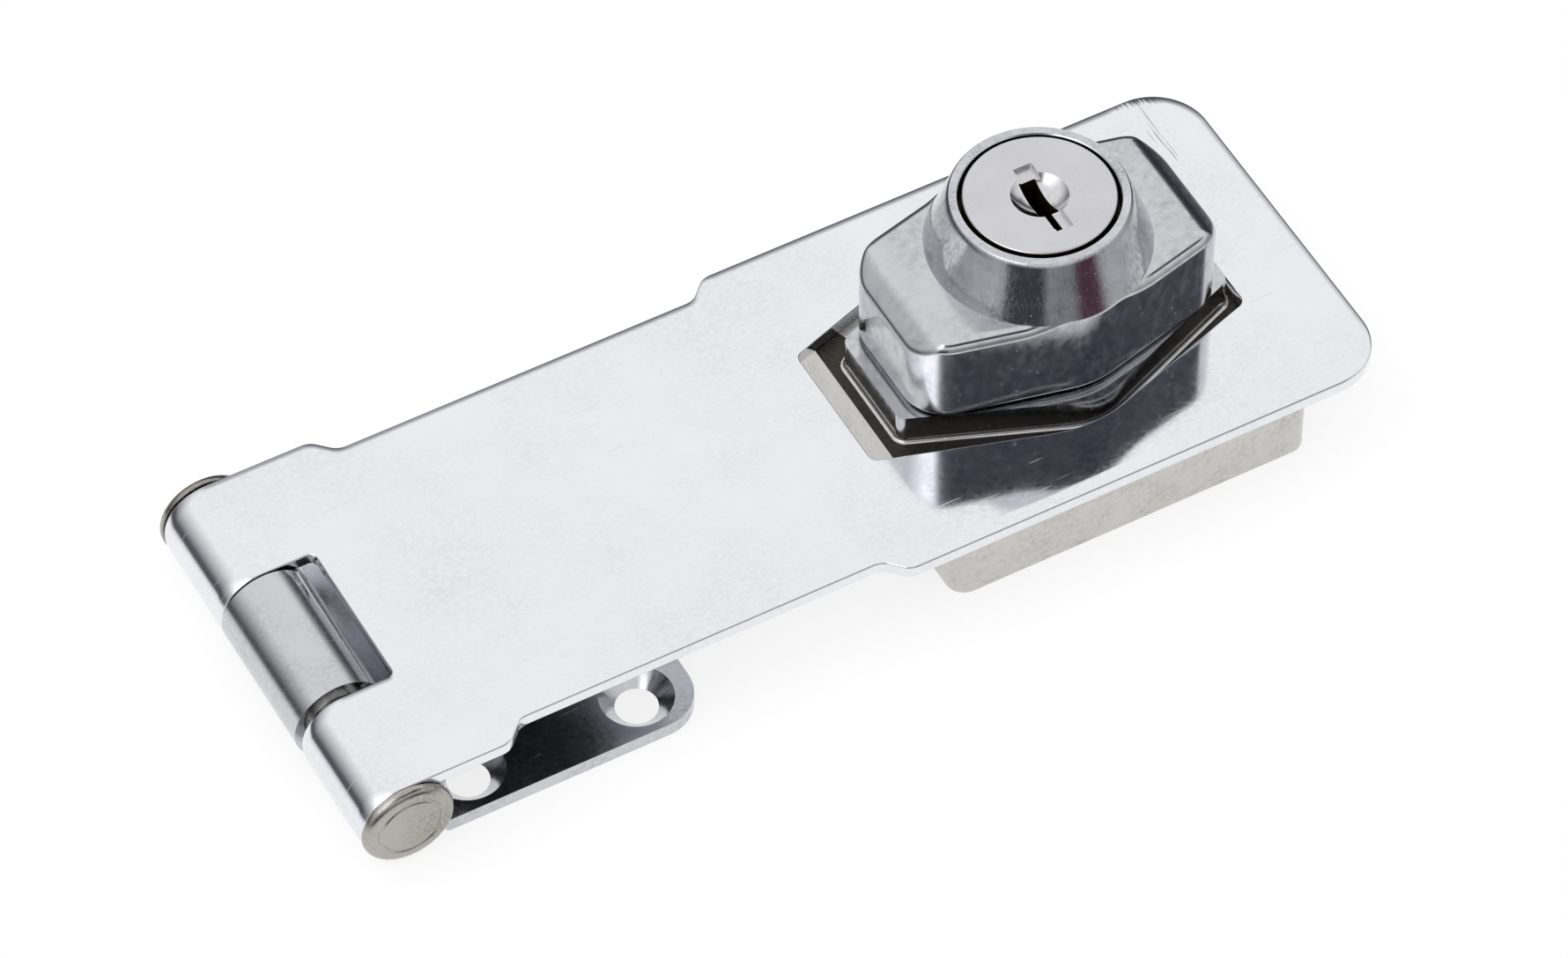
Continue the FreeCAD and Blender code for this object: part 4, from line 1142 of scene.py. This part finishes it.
    def build(self, wardrobe: Wardrobe) -> None:
        """Builds and dresses the knob."""
        face = self.top + self.collar_height
        seat = face - self.rim_depth
        low, high = self.groove_levels
        catch_low, catch_high = self.catch_levels
        roof = self.roof_rings()
        roof[0] = self.round_ring(self.collar_top, face - self.lip)
        inside = [(self.bore, self.neck_end), (self.bore, catch_low),
                  (self.catch_groove, catch_low), (self.catch_groove, catch_high),
                  (self.bore, catch_high), (self.bore, seat), (self.rim, seat),
                  (self.rim, face - self.lip), (self.rim + self.lip, face),
                  (self.collar_top - self.lip, face)]
        below = [(self.hub, self.foot), (self.hub, self.hub_end),
                 (self.neck, self.hub_end, self.neck_flat), (self.neck, high, self.neck_flat),
                 (self.groove, high), (self.groove, low), (self.neck, low, self.neck_flat),
                 (self.neck, self.neck_end, self.neck_flat), (self.bore, self.neck_end)]
        piece = stack("knob_casting", [self.round_ring(*sizes) for sizes in inside]
                      + roof + self.wall_rings()
                      + [self.round_ring(*sizes) for sizes in below], False)
        window_low, window_high = self.window_levels
        combine(piece, [block("window", (LOCK_X, -self.window_half, window_low),
                              (LOCK_X + self.hub + OVER, self.window_half, window_high))])
        shade(piece, 28.0)
        wardrobe.dress(piece, Finish.CAST_CHROME, "knob", "knob")
        wardrobe.patch(piece, Finish.BRUSHED_CHROME, lambda spot: (
            spot.reach > self.rim + 0.5 and spot.level > self.top + 0.2))
        wardrobe.patch(piece, Finish.OILED_ZINC, lambda spot: (
            spot.reach < self.rim + 0.02 or spot.level < self.foot - 0.1))


@dataclass
class Plug:
    """The lock plug with its face, dimple, keyway and drive pin."""

    face: float = 28.8
    face_radius: float = 7.55
    face_back: float = 26.3
    lip: float = 0.1
    radius: float = 6.0
    foot: float = 10.0
    dimple: float = 2.89
    dimple_depth: float = 1.3
    keyway_depth: float = 15.4
    step_depth: float = 0.5
    pin_foot: float = 5.2
    pin_radius: float = 0.8
    pin_offset: float = 1.4142

    def build(self, wardrobe: Wardrobe) -> None:
        """Builds and dresses the plug."""
        profile = [(self.radius, self.foot), (self.radius, self.face_back),
                   (self.face_radius, self.face_back),
                   (self.face_radius, self.face - self.lip),
                   (self.face_radius - self.lip, self.face)]
        bowl = (self.dimple ** 2 + self.dimple_depth ** 2) / (2 * self.dimple_depth)
        steps = 12
        for step in range(steps):
            reach = self.dimple * (1 - step / steps)
            depth = math.sqrt(bowl ** 2 - reach ** 2) - (bowl - self.dimple_depth)
            profile.append((reach, self.face - depth))
        piece = stack("plug_turned", [level_ring(circle(radius), level, LOCK_X)
                                      for radius, level in profile])
        self.cut_keyway(piece)
        combine(piece, [disc("drive_pin", self.pin_radius, self.pin_foot, self.foot + 0.5,
                             LOCK_X - self.pin_offset, -self.pin_offset, 32)], "UNION")
        shade(piece)
        wardrobe.dress(piece, Finish.SATIN_NICKEL, "plug", "plug")
        bottom = self.face - self.dimple_depth - 0.05
        wardrobe.patch(piece, Finish.POLISHED_NICKEL, lambda spot: (
            spot.reach < self.dimple and spot.up > 0.5 and spot.level > bottom))
        wardrobe.patch(piece, Finish.OILED_BRASS, lambda spot: (
            spot.level < self.face - self.step_depth - 0.05
            and (spot.up < 0.5 or spot.level < bottom)))

    def cut_keyway(self, piece: bpy.types.Object) -> None:
        """Cuts the deep keyway and the shallow steps round it."""
        cuts = (
            ("keyway", self.keyway_depth, (
                (0.8, 2.4, 0.1), (-1.0, 2.4, 0.1), (-1.0, -4.6, 0.1), (-0.05, -4.6, 0.1),
                (-0.05, -2.4), (0.8, -2.4, 0.1))),
            ("far_step", self.step_depth, (
                (1.3, 1.0), (1.3, 4.0, 0.15), (-0.75, 4.0, 0.15), (-0.75, 1.0))),
            ("near_step", self.step_depth, (
                (-0.9, -1.0), (-0.9, -4.9), (0.93, -5.0, 0.15), (0.93, -1.0))))
        combine(piece, [prism(name, Outline([Corner(*corner) for corner in corners]),
                              self.face - depth, self.face + OVER, LOCK_X)
                        for name, depth, corners in cuts])


class HiddenParts:
    """The small inner CAD nodes that keep their own meshes."""

    FINISHES = {
        "lock_bolt": Finish.PLAIN_STEEL,
        "friction_washer": Finish.SPRING_STEEL,
        "stop_washer": Finish.PLAIN_STEEL,
        "retaining_clip": Finish.SPRING_STEEL,
        "catch_wafer": Finish.STAMPED_BRASS,
        "catch_spring": Finish.SPRING_STEEL,
    }

    def dress(self, wardrobe: Wardrobe) -> None:
        """Dresses each inner node."""
        for node, finish in self.FINISHES.items():
            wardrobe.dress_node(node, finish)
        for node in frame["nodes"]:
            if node.startswith("wafer_spring"):
                wardrobe.dress_node(node, Finish.SPRING_STEEL)
            elif node.startswith("wafer_"):
                wardrobe.dress_node(node, Finish.STAMPED_BRASS)


# Studio

@dataclass
class Studio:
    """The floor, the lights, the dark cloth round them and the camera."""

    azimuth: float = -28.925
    elevation: float = 50.603
    lens: float = 197.15
    sensor: float = 36.0
    camera_place: Place = (-258.64, -468.58, 653.88)
    floor_size: float = 400.0
    floor_level: float = -0.05
    floor_reach: Flat = (57.0, 21.0)
    floor_fade: Flat = (10.0, 48.0)
    floor_glow: float = 0.78
    lamp_size: float = 800.0
    lamp_power: float = 2.0
    lamp_place: Place = (-550.0, 250.0, 900.0)
    room_radius: float = 600.0
    room_level: float = 15.0
    # How light the room is near the horizon, by compass angle from +X in degrees.
    horizon: tuple[Flat, ...] = (
        (-180, 0.25), (-172, 0.4), (-152, 0.45), (-148, 0.02), (-114, 0.02), (-110, 0.3),
        (-85, 0.25), (-80, 0.03), (-62, 0.03), (-54, 0.5), (-15, 0.45), (10, 0.22), (25, 0.1),
        (50, 0.1), (120, 0.07), (160, 0.07), (180, 0.25))
    # The height's sine from which it is white all round.
    horizon_top: float = 0.58
    # How light the cloths in front and behind are, by compass angle and by height's sine.
    hangings: tuple[tuple[tuple[Flat, ...], tuple[Flat, ...]], ...] = (
        (((-180, 1.0), (-142, 1.0), (-118, 0.12), (-95, 0.03), (-60, 0.0), (-22, 0.03),
          (-12, 1.0), (180, 1.0)),
         ((0.60, 1.0), (0.68, 0.0), (0.86, 0.0), (0.92, 1.0))),
        (((-180, 1.0), (4, 1.0), (20, 0.1), (70, 0.1), (92, 1.0), (180, 1.0)),
         ((-1.0, 0.0), (0.30, 0.0), (0.42, 0.3), (0.58, 1.0))))
    # How much light the soft reflector at the left adds, likewise.
    reflector: tuple[Flat, ...] = ((-180, 0.5), (-165, 1.0), (-140, 1.0), (-128, 0.0),
                                   (150, 0.0), (180, 0.5))
    reflector_height: tuple[Flat, ...] = ((0.3, 0.0), (0.5, 1.0), (0.86, 1.0), (0.95, 0.0))
    # The cloth's slate with its maroon stripe, by share of the turn, and the slate above.
    weave: tuple[tuple[float, str], ...] = (
        (0.0, "#33353F"), (0.265, "#33353F"), (0.28, "#4A1A30"), (0.33, "#4A1A30"),
        (0.345, "#33353F"))
    upper_weave: str = "#363844"

    def build(self) -> None:
        """Sets the scene up round the lock."""
        scene = bpy.context.scene
        scene.view_settings.view_transform = "Standard"
        self.set_camera(scene)
        self.set_world(scene)
        self.lay_floor()
        self.hang_lamp(scene)
        self.hang_cloth()

    def set_camera(self, scene: bpy.types.Scene) -> None:
        """Puts the camera where the photo was taken from."""
        data = bpy.data.cameras.new("camera")
        data.sensor_fit = "HORIZONTAL"
        data.sensor_width = self.sensor
        data.lens = self.lens
        data.clip_start = 0.01
        camera = bpy.data.objects.new("camera", data)
        camera.location = Vector(self.camera_place) * MM
        camera.rotation_euler = Euler(
            (math.radians(90 - self.elevation), 0.0, math.radians(self.azimuth)))
        scene.collection.objects.link(camera)
        scene.camera = camera

    def set_world(self, scene: bpy.types.Scene) -> None:
        """Makes the world plain white."""
        scene.world = bpy.data.worlds.new("white_tent")
        graph = Graph(scene.world)
        graph.output(graph.add("Background", Color=WHITE, Strength=1.0), "World")

    def lay_floor(self) -> None:
        """Lays a plain pale sheet under the lock."""
        bpy.ops.object.select_all(action="DESELECT")
        bpy.ops.mesh.primitive_plane_add(size=self.floor_size * MM,
                                         location=(0.0, 0.0, self.floor_level * MM))
        floor = bpy.context.object
        floor.name = "floor"
        floor.data.materials.append(self.floor_material())

    def floor_material(self) -> bpy.types.Material:
        """Paints the sheet: it glows where it is looked at and fades out round the lock."""
        material = bpy.data.materials.new("matt_white_sheet")
        graph = Graph(material)
        path = graph.add("LightPath").outputs
        seen = path["Is Camera Ray"]
        for ray in ("Is Glossy Ray", "Is Transmission Ray"):
            seen = graph.maths("MAXIMUM", seen, path[ray])
        glow = graph.add("Emission", Color=WHITE,
                         Strength=graph.maths("MULTIPLY", seen, self.floor_glow))
        paint = graph.add("BsdfDiffuse", Color=linear("#848484"))
        sheet = graph.add("AddShader", paint.outputs[0], glow.outputs[0])
        reach = (self.floor_reach[0] * MM, self.floor_reach[1] * MM, 1.0)
        beyond = graph.vectors("SUBTRACT", graph.vectors("ABSOLUTE", graph.place()), reach)
        gap = graph.vectors("LENGTH", graph.vectors("MAXIMUM", beyond, (0.0, 0.0, 0.0)))
        fade = graph.remap(gap, (self.floor_fade[0] * MM, self.floor_fade[1] * MM),
                           curve="SMOOTHSTEP")
        clear = graph.add("BsdfTransparent")
        graph.output(graph.add("MixShader", fade, sheet.outputs[0], clear.outputs[0]))
        return material

    def hang_lamp(self, scene: bpy.types.Scene) -> None:
        """Hangs a wide soft lamp above and to the left."""
        data = bpy.data.lights.new("soft_lamp", "AREA")
        data.shape = "SQUARE"
        data.size = self.lamp_size * MM
        data.energy = self.lamp_power
        lamp = bpy.data.objects.new("soft_lamp", data)
        lamp.location = Vector(self.lamp_place) * MM
        lamp.visible_glossy = False
        lamp.rotation_euler = (-lamp.location).to_track_quat("-Z", "Y").to_euler()
        scene.collection.objects.link(lamp)

    def hang_cloth(self) -> None:
        """Hangs dark cloth outside the picture, low all round and higher in two parts.

        The lock's gloss mirrors it, and it takes no light from the lock or the floor.
        """
        bpy.ops.object.select_all(action="DESELECT")
        bpy.ops.mesh.primitive_uv_sphere_add(segments=48, ring_count=24,
                                             radius=self.room_radius * MM)
        cloth = bpy.context.object
        cloth.name = "dark_cloth"
        cloth.location = (LOCK_X * MM / 2, 0.0, self.room_level * MM)
        cloth.visible_camera = False
        cloth.visible_diffuse = False
        cloth.visible_shadow = False
        cloth.data.materials.append(self.cloth_material())

    def cloth_material(self) -> bpy.types.Material:
        """Weaves the cloth: dark by compass and height, else clear, with the reflector."""
        material = bpy.data.materials.new("dark_cloth")
        graph = Graph(material)
        direction = graph.vectors("NORMALIZE", graph.place())
        x, y, z = graph.add("SeparateXYZ", direction).outputs
        turn = graph.remap(graph.maths("ARCTAN2", y, x), (-math.pi, math.pi))
        lifted = graph.remap(z, (-1.0, 1.0))
        height = graph.remap(z, (0.0, self.horizon_top))

        def by_compass(stops: Sequence[Flat]) -> Socket:
            """Gives the light by compass angle."""
            return graph.ramp(turn, [((angle + 180) / 360, light) for angle, light in stops])

        opening = graph.blend(height, by_compass(self.horizon), WHITE)
        for round_stops, height_stops in self.hangings:
            above = graph.ramp(lifted, [((sine + 1) / 2, light)
                                        for sine, light in height_stops])
            gap = graph.maths("MAXIMUM", above, by_compass(round_stops))
            opening = graph.maths("MULTIPLY", gap, opening)
        weave = graph.blend(height, graph.ramp(turn, self.weave), linear(self.upper_weave))
        dark = graph.add("Emission", Color=weave, Strength=1.0)
        clear = graph.add("BsdfTransparent")
        cloth = graph.add("MixShader", opening, dark.outputs[0], clear.outputs[0])
        panel = graph.maths("MULTIPLY", by_compass(self.reflector),
                            graph.ramp(z, self.reflector_height))
        bright = graph.add("Emission", Color=WHITE, Strength=panel)
        graph.output(graph.add("AddShader", cloth.outputs[0], bright.outputs[0]))
        return material


def main() -> None:
    """Builds every piece of the lock, then the studio."""
    logging.basicConfig(level=logging.INFO, format="%(name)s %(message)s")
    wardrobe = Wardrobe()
    for part in (Strap(), Leaf(), HingePin(), LockBase(), Knob(), Plug()):
        part.build(wardrobe)
    HiddenParts().dress(wardrobe)
    Studio().build()


if __name__ == "__main__":
    main()
